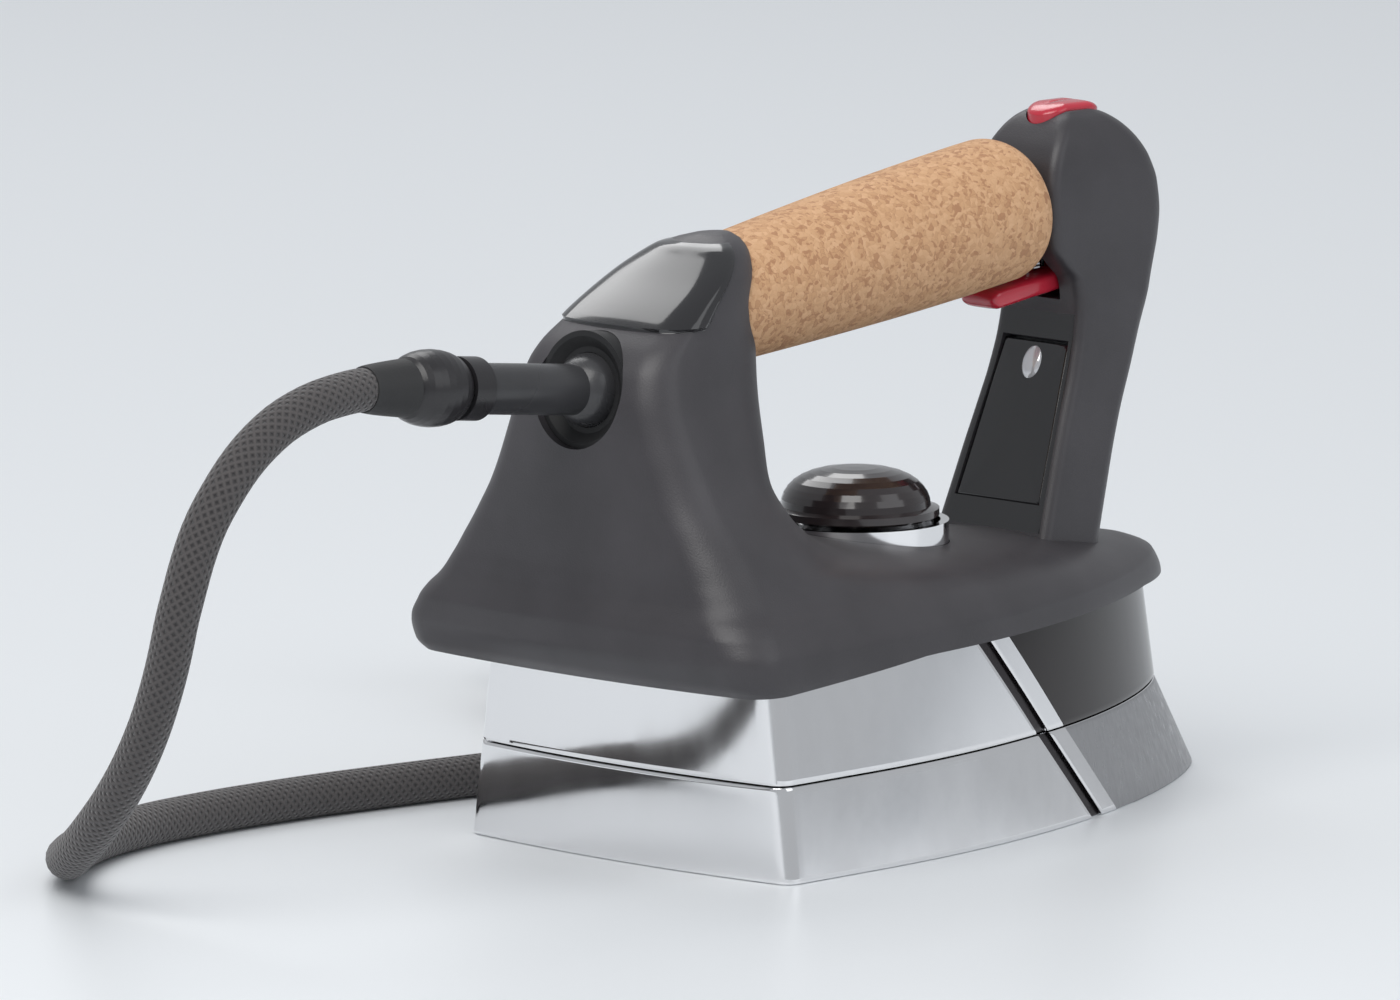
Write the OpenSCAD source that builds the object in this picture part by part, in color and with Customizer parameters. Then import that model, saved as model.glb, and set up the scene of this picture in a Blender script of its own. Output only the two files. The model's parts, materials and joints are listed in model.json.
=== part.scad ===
// Clothes iron of a steam ironing system: polished soleplate, dark housing with a tall heel,
// cork grip, front pillar with trigger and steam button, and a steam hose put away in a coil.
// +X points to the nose, +Y to the iron's left, +Z up; the origin is the centre of the sole.

/* [Soleplate] */
// Length of the sole from the rear face to the tip of the nose
plate_l = 212; // [180:1:240]
// Width of the sole at the rear
plate_w = 114; // [98:1:130]
// Height of the soleplate casting
plate_h = 24.5; // [21:0.5:29]
// How far each side leans in over the height of the casting
plate_lean = 3; // [1:0.5:4]
// How far the nose rakes back over the height of the casting
nose_rake = 15; // [8:1:18]
// Radius of the steam holes
steam_hole_r = 1.3; // [0.8:0.1:1.6]

/* [Skirt] */
// Height of the chromed skirt above the casting
skirt_h = 30.5; // [30:0.5:31.5]
// Wall of the skirt
skirt_wall = 2; // [1.6:0.1:3]
// Width of the slanted groove in the sides
groove_w = 4; // [2:0.5:6]
// Depth of the slanted groove
groove_d = 1; // [0.6:0.1:1.2]

/* [Housing] */
// Height of the top of the heel above the sole
heel_top = 157.5; // [150:0.5:164]
// How far the housing reaches out past the soleplate on each side
housing_lip = 6.5; // [4:0.5:10]
// Width of the heel below the grip
heel_w = 75; // [72:0.5:80]
// Wall of the housing
housing_wall = 2.6; // [2:0.1:3.2]

/* [Handle] */
// Length of the cork grip
grip_l = 116; // [108:1:118]
// Radius of the grip at the heel
grip_rear_r = 16; // [14.5:0.1:16.5]
// Radius of the grip at its thickest, near the front
grip_front_r = 19; // [17:0.1:20]
// Angle at which the grip rises to the front
grip_rise = 7.3; // [6:0.1:8.5]
// Radius of the metal core through the grip
core_r = 7; // [6:0.1:8]
// Radius of the wire passage in the core
core_bore_r = 4; // [3:0.1:5]

/* [Controls] */
// Radius of the thermostat dial
dial_r = 21.5; // [18:0.5:22]
// Height of the dial over its rim
dial_h = 13; // [10:0.5:14]
// Radius of the thermostat shaft
shaft_r = 3; // [2.5:0.1:4]
// Width of the trigger
trigger_w = 13; // [10:0.5:14]
// Radius of the trigger's pivot pin
pin_r = 1.5; // [1.2:0.1:2]
// Length of the steam button
button_l = 21; // [17:0.5:22]
// Width of the steam button
button_w = 12; // [9:0.5:13]

/* [Hose] */
// Radius of the swivel's stub pipe
stub_r = 6.5; // [6:0.1:7.5]
// Radius of the swivel's ball
ball_r = 9.5; // [8.5:0.1:10.5]
// Length of the stub from the ball's centre to the knob
stub_l = 49; // [44:1:60]
// Diameter of the steam hose
hose_d = 11; // [9:0.5:12]
// Radius of the connector at the hose's end
connector_r = 11; // [9:0.5:13]
// Length of the connector's body
connector_l = 46; // [36:1:50]

/* [Fits] */
// Gap between shells and pieces that meet
gap = 0.2; // [0.1:0.05:0.4]
// Radial clearance of a running fit
run = 0.05; // [0.02:0.01:0.1]

/* [Hidden] */
$fn = 48;

// Where the soleplate ends and what stands on it
plate_back = -plate_l / 2;
plate_nose = plate_l / 2;
rear_bulge = 4;
upper_rake = 4.5;
skirt_z = plate_h + 0.4;
skirt_top = skirt_z + skirt_h;
cover_t = 3;
gasket_t = 0.8;
chamber_x = [-60, 12];
chamber_y = 14;
chamber_z = 8;
passage_z = 7;
rim = 6;
element_r = 4;
element_z = 15;
element_y = plate_w / 2 - 23;
element_x = plate_nose - 101;
element_end = plate_back + 22;
post_r = 4.5;
stud_r = 2;
post_h = 27.5;
post_y = plate_w / 2 - 13;
post_at = [
    [plate_back + 11, -post_y, 76], [plate_back + 11, post_y, 76], [plate_nose - 48, 0, 65]
];
boss_r = 5;
rear_edge_z = 49.5;
side_edge_z = 54.2;
shield_z = plate_h + post_h;
shield_t = 2;

// The slanted groove runs from groove_top to groove_foot, as [x, z]
groove_top = [-28, 54];
groove_foot = [21, 0];
window_shift = 14;

// Handle line: it starts at the heel and rises to the front
grip_start = [-79, 0, 139];

// Pillar: its rear face leans forward
pillar_base = [29, 0, 71.5];
pillar_lean = 20.3;

// Trigger pivot and steam button
pivot_s = 134;
pivot_n = -20;
button_x = 55.5;
button_top = 179.2;

// Dial axis
dial_x = -22;
dial_z = 78.6;
seat_r = dial_r + 2.5;

// Swivel: ball centre and the upward tilt of the stub
ball_at = [-119, 0, 121.8];
stub_rise = 6.5;
knob_r = 9.8;
knob_l = 18;

// Route of the hose from the swivel's knob to the coil, as centreline points
hose_route = [
    [-180, 0, 128.7], [-186, 0, 129.4], [-200, 0, 130.5], [-213, 0, 129.5], [-225, 1, 126],
    [-236, 2, 119.5], [-245, 3, 110.5], [-251, 5, 100], [-254.5, 7, 88], [-256, 10, 75],
    [-256, 14, 62], [-255.5, 20, 49], [-254, 29, 36], [-251, 41, 24], [-245, 55, 14.5],
    [-236, 69, 8.5], [-223, 82, 6], [-207, 92, 5.5], [-189, 99, 5.5], [-168, 103, 5.5],
    [-146, 104, 5.5], [-122, 103, 5.5], [-97, 100, 5.5], [-72, 96, 5.5], [-47, 91, 5.6],
    [-22, 86, 5.8], [3, 81, 6], [25, 77, 6.3], [48, 74, 6.6], [66, 72.5, 6.7], [84, 72, 6.7]
];
coil_at = [84, 135];
coil_r = [52, 63];
tie_t = 1.2;
layer_z = [tie_t + hose_d / 2, tie_t + 1.5 * hose_d];
coil_top = tie_t + 2 * hose_d;
tail_turn = [285, 440];
tail_r = 57.5;
tail_z = coil_top + hose_d / 2 - 1.5;
rise_z = coil_top + 1.2 + connector_r;
connector_angle = 440;

// Half width of a plan of length l and half width w at the share t of its length, from the rear
function half_width(t, w, power, blunt) =
    let (u = max(0, (t - 0.15) / 0.85)) w * pow(max(0, 1 - pow(u, power)), blunt);

// One side of a plan outline, from the middle of the rear face round the corner to the nose
function plan_side(x0, x1, w, power, blunt, corner) = [
    for (k = [0:2]) let (y = (w - corner) * k / 2)
        [x0 - rear_bulge * (1 - pow(y / w, 2)), y],
    for (a = [-55, -28, 0]) [x0 + corner + corner * sin(a), w - corner + corner * cos(a)],
    for (k = [1:11]) let (t = 0.1 + 0.9 * (1 - pow(1 - k / 12, 1.8)))
        [x0 + t * (x1 - x0), half_width(t, w, power, blunt)],
    [x1, 0]
];
function plan(x0, x1, w, power = 2.05, blunt = 0.85, corner = 4) =
    let (side = plan_side(x0, x1, w, power, blunt, corner), n = len(side))
    concat([for (i = [n - 1:-1:0]) [side[i][0], -side[i][1]]],
           [for (i = [1:n - 2]) side[i]]);
function at_height(outline, z) = [for (p = outline) [p[0], p[1], z]];

// A closed solid through rings of equal point count, listed from the bottom up
module loft(rings) {
    n = len(rings[0]);
    top = (len(rings) - 1) * n;
    sides = [
        for (j = [0:len(rings) - 2], i = [0:n - 1])
            let (a = j * n + i, b = j * n + (i + 1) % n)
            each [[a, b, b + n], [a, b + n, a + n]]
    ];
    polyhedron(
        [for (r = rings) each r],
        concat([[for (i = [n - 1:-1:0]) i]], sides, [[for (i = [0:n - 1]) top + i]]),
        convexity = 6
    );
}

// Round tube swept along centreline points
function cross3(a, b) = [a[1]*b[2] - a[2]*b[1], a[2]*b[0] - a[0]*b[2], a[0]*b[1] - a[1]*b[0]];
function unit(v) = v / norm(v);
function tangent(p, i) = unit(p[min(i + 1, len(p) - 1)] - p[max(i - 1, 0)]);
function carried(normal, t) = unit(normal - (normal * t) * t);
function frames(p, i, normal) =
    i >= len(p) ? [] :
    let (t = tangent(p, i), n = carried(normal, t)) concat([[t, n]], frames(p, i + 1, n));
module tube_along(p, r, sides, start_normal = [0, 1, 0]) {
    f = frames(p, 0, start_normal);
    loft([
        for (i = [0:len(p) - 1])
            let (n = f[i][1], b = cross3(f[i][0], n))
            [for (k = [0:sides - 1]) let (a = -360 * k / sides) p[i] + r * (cos(a) * n + sin(a) * b)]
    ]);
}
// Points of a helix about +Z from z0 to z1
function helix(r, turns, z0, z1, steps = 10) = [
    for (k = [0:turns * steps]) let (a = 360 * k / steps)
        [r * cos(a), r * sin(a), z0 + (z1 - z0) * k / (turns * steps)]
];

// Frames of the handle, the pillar and the swivel
module in_handle() translate(grip_start) rotate([0, -grip_rise, 0]) children();
module along_handle(s) in_handle() translate([s, 0, 0]) rotate([0, 90, 0]) children();
module in_pillar() translate(pillar_base) rotate([0, pillar_lean, 0]) children();
module in_swivel() translate(ball_at) rotate([0, stub_rise - 90, 0]) children();
module tube(r, bore, h) difference() {
    cylinder(r = r, h = h);
    translate([0, 0, -1]) cylinder(r = bore, h = h + 2);
}
module box(low, high) translate(low) cube(high - low);

// ---- Soleplate and skirt ----

// Outline of the polished body at a height above the sole
function body_plan(z, inset = 0) =
    let (
        k = z / plate_h,
        lean = plate_lean * k,
        rake = k < 1 ? nose_rake * k : nose_rake + upper_rake * (k - 1)
    )
    plan(plate_back + 0.4 * k + inset, plate_nose - rake - 1.3 * inset, plate_w / 2 - lean - inset);

module body_loft(z0, z1, inset = 0)
    loft([at_height(body_plan(z0, inset), z0), at_height(body_plan(z1, inset), z1)]);

// A slab across both sides that leans like the groove, moved ahead by shift
module slanted_slab(width, shift = 0) {
    run_x = groove_foot[0] - groove_top[0];
    run_z = groove_top[1] - groove_foot[1];
    translate([groove_foot[0] + shift, 0, groove_foot[1]])
        rotate([0, -atan2(run_x, run_z), 0])
            translate([0, -plate_w, -30]) cube([width, 2 * plate_w, 130]);
}

module side_groove(z0, z1) intersection() {
    slanted_slab(groove_w);
    difference() {
        body_loft(z0, z1, -2);
        body_loft(z0 - 1, z1 + 1, groove_d);
    }
}

module soleplate() color("silver") difference() {
    loft([
        at_height(body_plan(0, 0.8), 0), at_height(body_plan(0.8), 0.8),
        at_height(body_plan(plate_h), plate_h)
    ]);
    side_groove(-1, plate_h + 1);
    // Steam chamber with a rim for its gasket and cover
    box([chamber_x[0], -chamber_y, chamber_z], [chamber_x[1], chamber_y, plate_h + 1]);
    box([chamber_x[0] - rim, -chamber_y - rim, plate_h - cover_t - gasket_t],
        [chamber_x[1] + rim, chamber_y + rim, plate_h + 1]);
    // Passage to the nose and the steam holes
    translate([0, 0, passage_z]) rotate([0, 90, 0]) cylinder(r = 2.6, h = plate_nose - 38);
    for (x = [plate_nose - 78:13:plate_nose - 52]) translate([x, 0, -1])
        cylinder(r = steam_hole_r, h = passage_z + 1);
    for (x = [-52:14:4], y = [-9, 0, 9]) translate([x, y, -1])
        cylinder(r = steam_hole_r, h = chamber_z + 2);
    element_groove();
    for (p = post_at) translate([p[0], p[1], plate_h - 10]) cylinder(r = stud_r, h = 12);
    for (p = screw_at) translate([p[0], p[1], plate_h - 12]) cylinder(r = 1.5, h = 12);
}

// The heating element lies in a U-shaped groove that is open at the top
module element_path(r) {
    for (y = [-element_y, element_y]) translate([element_end, y, element_z]) rotate([0, 90, 0])
        cylinder(r = r, h = element_x - element_end);
    translate([element_x, 0, element_z]) intersection() {
        rotate_extrude() translate([element_y, 0]) circle(r = r);
        box([0, -60, -10], [60, 60, 10]);
    }
}
module element_groove() {
    w = element_r + gap;
    element_path(w);
    for (y = [-element_y, element_y]) box([element_end, y - w, element_z],
        [element_x, y + w, plate_h + 1]);
    translate([element_x, 0, element_z]) intersection() {
        tube(element_y + w, element_y - w, plate_h);
        box([0, -60, 0], [60, 60, plate_h]);
    }
    for (y = [-element_y, element_y]) translate([element_end, y, element_z]) {
        sphere(r = w);
        cylinder(r = w, h = plate_h);
    }
}
module heating_element() color("dimgray") {
    element_path(element_r);
    for (y = [-element_y, element_y]) translate([element_end, y, element_z]) {
        sphere(r = element_r);
        cylinder(r = element_r, h = 14);
        translate([0, 0, 14]) cylinder(r = 1.5, h = 8);
    }
}

screw_at = [
    for (x = [chamber_x[0] - rim / 2, chamber_x[1] + rim / 2], y = [-1, 1])
        [x, y * (chamber_y + rim / 2)]
];
cover_z = plate_h - cover_t;
module chamber_plate(z, t, clearance) difference() {
    box([chamber_x[0] - rim + clearance, -chamber_y - rim + clearance, z],
        [chamber_x[1] + rim - clearance, chamber_y + rim - clearance, z + t]);
    for (p = screw_at) translate([p[0], p[1], z - 1]) cylinder(r = 1.6, h = t + 2);
}
module chamber_gasket() color("firebrick") difference() {
    chamber_plate(cover_z - gasket_t, gasket_t, gap);
    box([chamber_x[0], -chamber_y, 0], [chamber_x[1], chamber_y, plate_h]);
}
inlet_x = chamber_x[0] + 12;
module chamber_cover() color("darkgray") difference() {
    chamber_plate(cover_z, cover_t, gap);
    translate([inlet_x, 0, 0]) cylinder(r = 4, h = plate_h + 1);
}
module chamber_screws() color("gray") for (p = screw_at) translate([p[0], p[1], 0]) {
    translate([0, 0, plate_h - 11]) cylinder(r = 1.5, h = 11);
    translate([0, 0, plate_h]) cylinder(r = 2.8, h = 2);
}
module steam_inlet() color("goldenrod") translate([inlet_x, 0, cover_z]) difference() {
    union() {
        cylinder(r = 4, h = cover_t);
        translate([0, 0, cover_t]) cylinder(r = 6, h = 5);
        translate([0, 0, cover_t + 5]) cylinder(r = 4, h = 6);
    }
    translate([0, 0, -1]) cylinder(r = 1.8, h = cover_t + 13);
}

// ---- Thermostat, fuse and posts ----

module thermostat() color("ivory") translate([dial_x, 0, plate_h]) difference() {
    union() {
        cylinder(r = 13, h = 4);
        translate([0, 0, 4]) cylinder(r = 10, h = 11);
    }
    translate([0, 0, 7]) cylinder(r = shaft_r + run, h = 12);
}
module thermal_fuse() color("white") {
    translate([-6, -8, plate_h + 3]) rotate([0, 90, 0]) cylinder(r = 3, h = 20);
    box([-2, -11, plate_h], [10, -5, plate_h + 0.1]);
    box([-1, -9, plate_h], [9, -7, plate_h + 1.5]);
}
module support_posts() color("lightgray") for (p = post_at) translate([p[0], p[1], plate_h])
    tube(post_r, stud_r, post_h);
module mounting_studs() color("gray") for (p = post_at) translate([p[0], p[1], plate_h - 10])
    cylinder(r = stud_r, h = 10 + post_h + shield_t + 12);

module insulation_plate() color("tan") difference() {
    translate([0, 0, shield_z]) linear_extrude(shield_t)
        polygon(plan(plate_back + 6, plate_nose - nose_rake - 9, plate_w / 2 - plate_lean - 7));
    for (p = post_at) translate([p[0], p[1], shield_z - 1]) cylinder(r = stud_r, h = shield_t + 2);
    translate([dial_x, 0, shield_z - 1]) cylinder(r = shaft_r + 2, h = shield_t + 2);
    translate([inlet_x, 0, shield_z - 1]) cylinder(r = 6, h = shield_t + 2);
    translate([element_end, 0, shield_z - 1]) cylinder(r = 6, h = shield_t + 2);
}

// ---- Skirt: the chromed wall with the groove, and the dark cover round the nose ----

module skirt_shell() difference() {
    body_loft(skirt_z, skirt_top);
    body_loft(skirt_z - 1, skirt_top + 1, skirt_wall);
}
module ahead_of_window(shift) slanted_slab(300, window_shift + shift);
module skirt() color("gainsboro") difference() {
    skirt_shell();
    side_groove(skirt_z - 1, skirt_top + 1);
    ahead_of_window(0);
}
module nose_cover() color([0.12, 0.10, 0.10]) intersection() {
    skirt_shell();
    ahead_of_window(gap);
}

// ---- Housing: deck and heel in one shell ----

// Rings of the housing: height, rear, front, half width, shape powers and corner radius
k_top = heel_top - 157.5;
hw = plate_w / 2 + housing_lip;
heel_hw = heel_w / 2;
housing_rings = [
    [40, -116, 90, hw - 4, 2.05, 0.85, 8], [47, -118, 92.5, hw - 1.5, 2.05, 0.85, 9],
    [52.5, -123.5, 92.5, hw, 2.05, 0.82, 10], [59, -126, 89, hw - 0.5, 2.05, 0.8, 11],
    [63.5, -126, 78, hw - 2.5, 2.05, 0.76, 12], [67, -125, 59, hw - 5, 2.1, 0.72, 12],
    [69.5, -124, 38, hw - 7.5, 2.2, 0.7, 12], [71.5, -123.3, 14, hw - 9, 2.3, 0.68, 12],
    [74.5, -122.8, -20, hw - 11, 2.4, 0.66, 12], [77.5, -122.4, -46, hw - 13, 2.5, 0.62, 12],
    [82, -122.2, -58, heel_hw + 0.385 * (hw - heel_hw), 2.5, 0.6, 12],
    [88, -122, -64.5, heel_hw + 0.21 * (hw - heel_hw), 2.4, 0.57, 11],
    [96, -122, -67.5, heel_hw, 2.2, 0.56, 10], [106, -122, -66, heel_hw - 5, 2.1, 0.56, 9],
    [117, -121.8, -65.5, heel_hw - 9.5, 2.1, 0.56, 8], [127, -119.5, -65, heel_hw - 12.5, 2.1, 0.56, 7],
    [132, -116, -64.5, heel_hw - 14, 2.1, 0.55, 6.5],
    [137 + 0.4 * k_top, -109.6, -64.5, heel_hw - 15.7, 2.1, 0.54, 6],
    [142 + 0.6 * k_top, -102.5, -64.5, heel_hw - 17.5, 2.1, 0.52, 5],
    [148 + 0.8 * k_top, -93, -65, heel_hw - 20, 2.1, 0.5, 4],
    [153 + k_top, -85.5, -66, heel_hw - 24, 2.1, 0.5, 3.5],
    [156 + k_top, -81, -67.5, heel_hw - 28.5, 2.1, 0.5, 2.5],
    [heel_top, -77, -70, heel_hw - 33.5, 2, 0.5, 1]
];
function housing_ring(r, inset) = at_height(
    plan(r[1] + inset, r[2] - inset, max(0.6, r[3] - inset), r[4], r[5], max(0.3, r[6] - inset / 2)),
    r[0] - (r[0] > 60 ? max(0, inset) : 0)
);
// The hollow follows most of the rings, set in by the wall
module housing_hollow() loft([
    for (i = [0, 1, 2, 3, 5, 7, 9, 11, 13, 15, 17, 18, 20]) housing_ring(housing_rings[i], housing_wall)
]);
// Flat-sided pocket in the heel's front, just clear of the swelling round grip
pocket_r = grip_rear_r + gap + 0.3 * (grip_front_r - grip_rear_r);
module grip_pocket() polygon([
    for (a = [9:18:351]) pocket_r / cos(9) * [cos(a), sin(a)]
]);
module pillar_foot() polygon([for (p = pillar_ring(pillar_rings[0])) [p[0], p[1]]]);

module housing() color([0.27, 0.26, 0.27]) difference() {
    union() {
        difference() {
            loft([for (r = housing_rings) housing_ring(r, 0)]);
            housing_hollow();
        }
        // Bosses for the studs reach up into the wall
        for (p = post_at) translate([p[0], p[1], shield_z + shield_t + gap])
            cylinder(r = boss_r, h = p[2] - shield_z - shield_t - gap);
        translate([0, 0, pillar_base[2] - 7]) linear_extrude(7) pillar_foot();
    }
    // The underside's edge rises from the rear corners and runs level to the nose
    translate([0, 90, 0]) rotate([90, 0, 0]) linear_extrude(180) polygon([
        [-140, 0], [-140, rear_edge_z - 1], [-118, rear_edge_z], [-60, side_edge_z],
        [60, side_edge_z], [100, side_edge_z - 2], [100, 0]
    ]);
    for (p = post_at) translate([p[0], p[1], 0]) cylinder(r = stud_r, h = shield_z + shield_t + 12);
    along_handle(-gap) linear_extrude(30) grip_pocket();
    in_swivel() translate([0, 0, -socket_depth]) cylinder(r = socket_r, h = 60);
    // Bores for the dial's seat, the wires to the pillar and the pillar's screws
    translate([dial_x, 0, 60]) cylinder(r = seat_r + gap, h = 40);
    translate([41, 0, 50]) cylinder(r = 5, h = 40);
    for (p = pillar_screw_at) translate([p[0], p[1], 50]) cylinder(r = 1.7, h = 30);
}

// The glossy panel is a skin round the upper rear of the heel, from corner to corner
panel_t = 1.2;
panel_first = 17;
panel_last = 21;
panel_reach = 6;
function rear_arc(r, inset) =
    let (corner = max(0.3, r[6] - inset / 2))
    let (side = plan_side(r[1] + inset, r[2] - inset, r[3] - inset, r[4], r[5], corner))
    concat([for (i = [panel_reach:-1:0]) [side[i][0], -side[i][1], r[0]]],
        [for (i = [1:panel_reach]) [side[i][0], side[i][1], r[0]]]);
// Each ring is an outer and an inner row of points, so the ends close in strips
module curved_skin(outer, inner) {
    m = len(outer[0]);
    rows = len(outer);
    back = rows * m;
    last = (rows - 1) * m;
    polyhedron(
        [for (r = outer) each r, for (r = inner) each r],
        concat(
            [for (j = [0:rows - 2], i = [0:m - 2]) let (a = j * m + i)
                each [[a, a + 1, a + 1 + m], [a, a + 1 + m, a + m]]],
            [for (j = [0:rows - 2], i = [0:m - 2]) let (a = back + j * m + i)
                each [[a, a + 1 + m, a + 1], [a, a + m, a + 1 + m]]],
            [for (i = [0:m - 2]) [back + i, back + i + 1, i + 1, i]],
            [for (i = [0:m - 2]) let (a = last + i) [a, a + 1, back + a + 1, back + a]],
            [for (j = [0:rows - 2]) let (a = j * m) [back + a, a, a + m, back + a + m]],
            [for (j = [0:rows - 2]) let (a = j * m + m - 1) [a, back + a, back + a + m, a + m]]
        ),
        convexity = 6
    );
}
module heel_panel() color([0.08, 0.08, 0.09]) difference() {
    curved_skin(
        [for (i = [panel_first:panel_last]) rear_arc(housing_rings[i], -panel_t)],
        [for (i = [panel_first:panel_last]) rear_arc(housing_rings[i], 0)]
    );
    in_swivel() translate([0, 0, -socket_depth]) cylinder(r = socket_r + gap, h = 60);
}

// ---- Inside the heel ----

terminal_x = plate_back + 14;
module terminal_block() color("beige") difference() {
    box([terminal_x - 7, -16, shield_z + shield_t], [terminal_x + 7, 16, shield_z + shield_t + 12]);
    for (y = [-10, 0, 10]) translate([terminal_x, y, shield_z + shield_t + 3]) cylinder(r = 2, h = 12);
}
module steam_pipe() color("whitesmoke") tube_along([
    [inlet_x, 0, plate_h + 11.2], [inlet_x, 0, 46], [inlet_x - 1, 0, 56], [inlet_x - 6, 0, 65],
    [inlet_x - 13, 0, 73], [inlet_x - 21, 0, 81], [inlet_x - 28, 0, 90], [inlet_x - 33, 0, 99],
    [inlet_x - 39, 0, 107], [inlet_x - 45, 0, 113], [-100.8, 0, 118.9]
], 3, 10);
module handle_wires() color("darkred") {
    tube_along([
        [terminal_x, 12, shield_z + shield_t + 12], [terminal_x, 12, 74], [-92, 12.5, 86], [-94, 13, 98],
        [-93, 15, 109], [-94, 14.5, 119], [-96, 11, 127], [-98, 6, 133.4], [-97.5, 2, 136.6],
        [-94.5, 0.4, 137.2], [-86, 0, 138.1], [-78, 0, 139.1]
    ], 1.6, 8);
}

// ---- Handle ----

core_in = 12;
flange_t = 4;
module core_flange() color("gray") along_handle(-flange_t - gap) tube(core_r + 3, core_r, flange_t);
module handle_core() color("silver") along_handle(-core_in)
    tube(core_r, core_bore_r, core_in + grip_l + 9);
module cork_grip() color([0.80, 0.63, 0.47]) difference() {
    along_handle(0) rotate_extrude() polygon([
        [core_r, 0], [grip_rear_r - 0.6, 0], [grip_rear_r, 0.8],
        for (k = [1:12]) let (t = k / 12)
            [grip_rear_r + (grip_front_r - grip_rear_r) * sin(90 * t), 0.8 + (grip_l - 14) * t],
        for (a = [15:15:75])
            [grip_front_r - 7 + 7 * cos(a), grip_l - 9 + 9 * sin(a)],
        [grip_front_r - 7, grip_l], [core_r, grip_l]
    ]);
    // Recess that the trigger rises into
    in_handle() box([grip_l - 21, -trigger_w / 2 - 1, -grip_front_r - 5],
        [grip_l + 5, trigger_w / 2 + 1, -grip_front_r + 5]);
}

// ---- Front pillar ----

// Rings of the pillar: height, rear, front, half width, and the radius of the front's corners
pillar_rings = [
    [71.5, 29, 54, 19.5, 6], [80, 32, 57, 18.6, 6], [90, 35.6, 60.5, 17.6, 6],
    [100, 39.4, 64.5, 16.6, 6], [110, 43.2, 69, 15.8, 6], [120, 46, 73, 15.2, 6],
    [128, 47, 76.5, 14.8, 6], [134, 46, 78.5, 14.6, 6.5], [138, 42, 80, 14.5, 7],
    [143, 38, 81.5, 14.5, 7.5], [150, 37, 82.5, 14.5, 8], [157, 37, 82, 14.3, 8.5],
    [163, 38, 80, 13.8, 9], [168, 40, 76.5, 13, 9], [172, 43, 72, 11.6, 8],
    [175, 46, 67, 9.6, 6.5], [177, 49, 62, 7, 4.5]
];
// Ring with a flat rear, small rear corners and round front corners
function pillar_ring(r) =
    let (c = 3, x0 = r[1], x1 = r[2], w = r[3], f = r[4])
    let (half = [
        [x0, 0], [x0, w - c], [x0 + c * 0.3, w - c * 0.3], [x0 + c, w],
        for (a = [90:-22.5:0]) [x1 - f + f * cos(a), w - 0.6 - f + f * sin(a)],
        [x1 + 0.4, 0]
    ], n = len(half))
    at_height(concat([for (i = [n - 1:-1:0]) [half[i][0], -half[i][1]]],
        [for (i = [1:n - 2]) half[i]]), r[0]);

pillar_screw_at = [[36, 11], [36, -11]];
cover_low = 6;
cover_high = 49.5;
module cover_plate(x0, x1, inset) translate([x0, 0, 0]) rotate([90, 0, 90])
    linear_extrude(x1 - x0) polygon([
        [-15 + inset, cover_low + inset], [15 - inset, cover_low + inset],
        [11.5 - inset, cover_high - inset], [-11.5 + inset, cover_high - inset]
    ]);
module button_slot(extra, z0, z1) translate([button_x, 0, z0]) {
    r = button_w / 2 + extra;
    half = button_l / 2 - button_w / 2;
    for (x = [-half, half]) translate([x, 0, 0]) cylinder(r = r, h = z1 - z0);
    box([-half, -r, 0], [half, r, z1 - z0]);
}
module front_pillar() color([0.25, 0.24, 0.25]) difference() {
    loft([for (r = pillar_rings) pillar_ring(r)]);
    // Hollow behind the cover, and the rear face that the grip butts against
    in_pillar() {
        cover_plate(-5, 2.2, 0);
        cover_plate(2, 13, 1.6);
    }
    in_handle() box([grip_l - 40, -40, -grip_front_r + 1], [grip_l + gap, 40, 16]);
    in_handle() box([grip_l - 40, -trigger_w / 2 - 0.8, pivot_n - 6.5],
        [pivot_s + 2, trigger_w / 2 + 0.8, pivot_n + 5.5]);
    in_handle() box([pivot_s - 7, -9.5, pivot_n - 7], [pivot_s + 15, 9.5, pivot_n + 14]);
    along_handle(grip_l - 5) cylinder(r = core_r, h = 14);
    along_handle(grip_l) cylinder(r = core_bore_r, h = 16);
    in_handle() translate([pivot_s, 14.2, pivot_n]) rotate([90, 0, 0]) cylinder(r = pin_r, h = 28.4);
    // Wire way between the hollows, the lower bores and the button's slot
    translate([56, 0, 112]) rotate([0, 12, 0]) cylinder(r = 3.5, h = 24);
    translate([41, 0, 60]) cylinder(r = 5, h = 24);
    for (p = pillar_screw_at) translate([p[0], p[1], 60]) cylinder(r = 1.5, h = 18);
    button_slot(0.35, button_top - 12, 200);
    box([button_x - 8, -5.2, button_top - 30], [button_x + 8, 5.2, button_top - 11]);
}
lens_z = 43;
module pillar_cover() color([0.07, 0.07, 0.08]) difference() {
    in_pillar() cover_plate(0.4, 2.2 - gap, gap);
    in_pillar() translate([-1, 0, lens_z]) rotate([0, 90, 0]) cylinder(r = 3.4, h = 6);
}
module pillar_screws() color("gray") for (p = pillar_screw_at) translate([p[0], p[1], 56])
    cylinder(r = 1.5, h = 21);
module indicator_lens() color("white") in_pillar() translate([-0.3, 0, lens_z]) rotate([0, 90, 0])
    cylinder(r = 3.4 - gap / 2, h = 3.4);
module indicator_lamp() color("seagreen") in_pillar() {
    box([6, -6.5, lens_z - 6], [7.4, 6.5, lens_z + 4]);
    translate([3.3, 0, lens_z]) rotate([0, 90, 0]) cylinder(r = 1.5, h = 2.7);
}

// ---- Trigger ----

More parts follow.
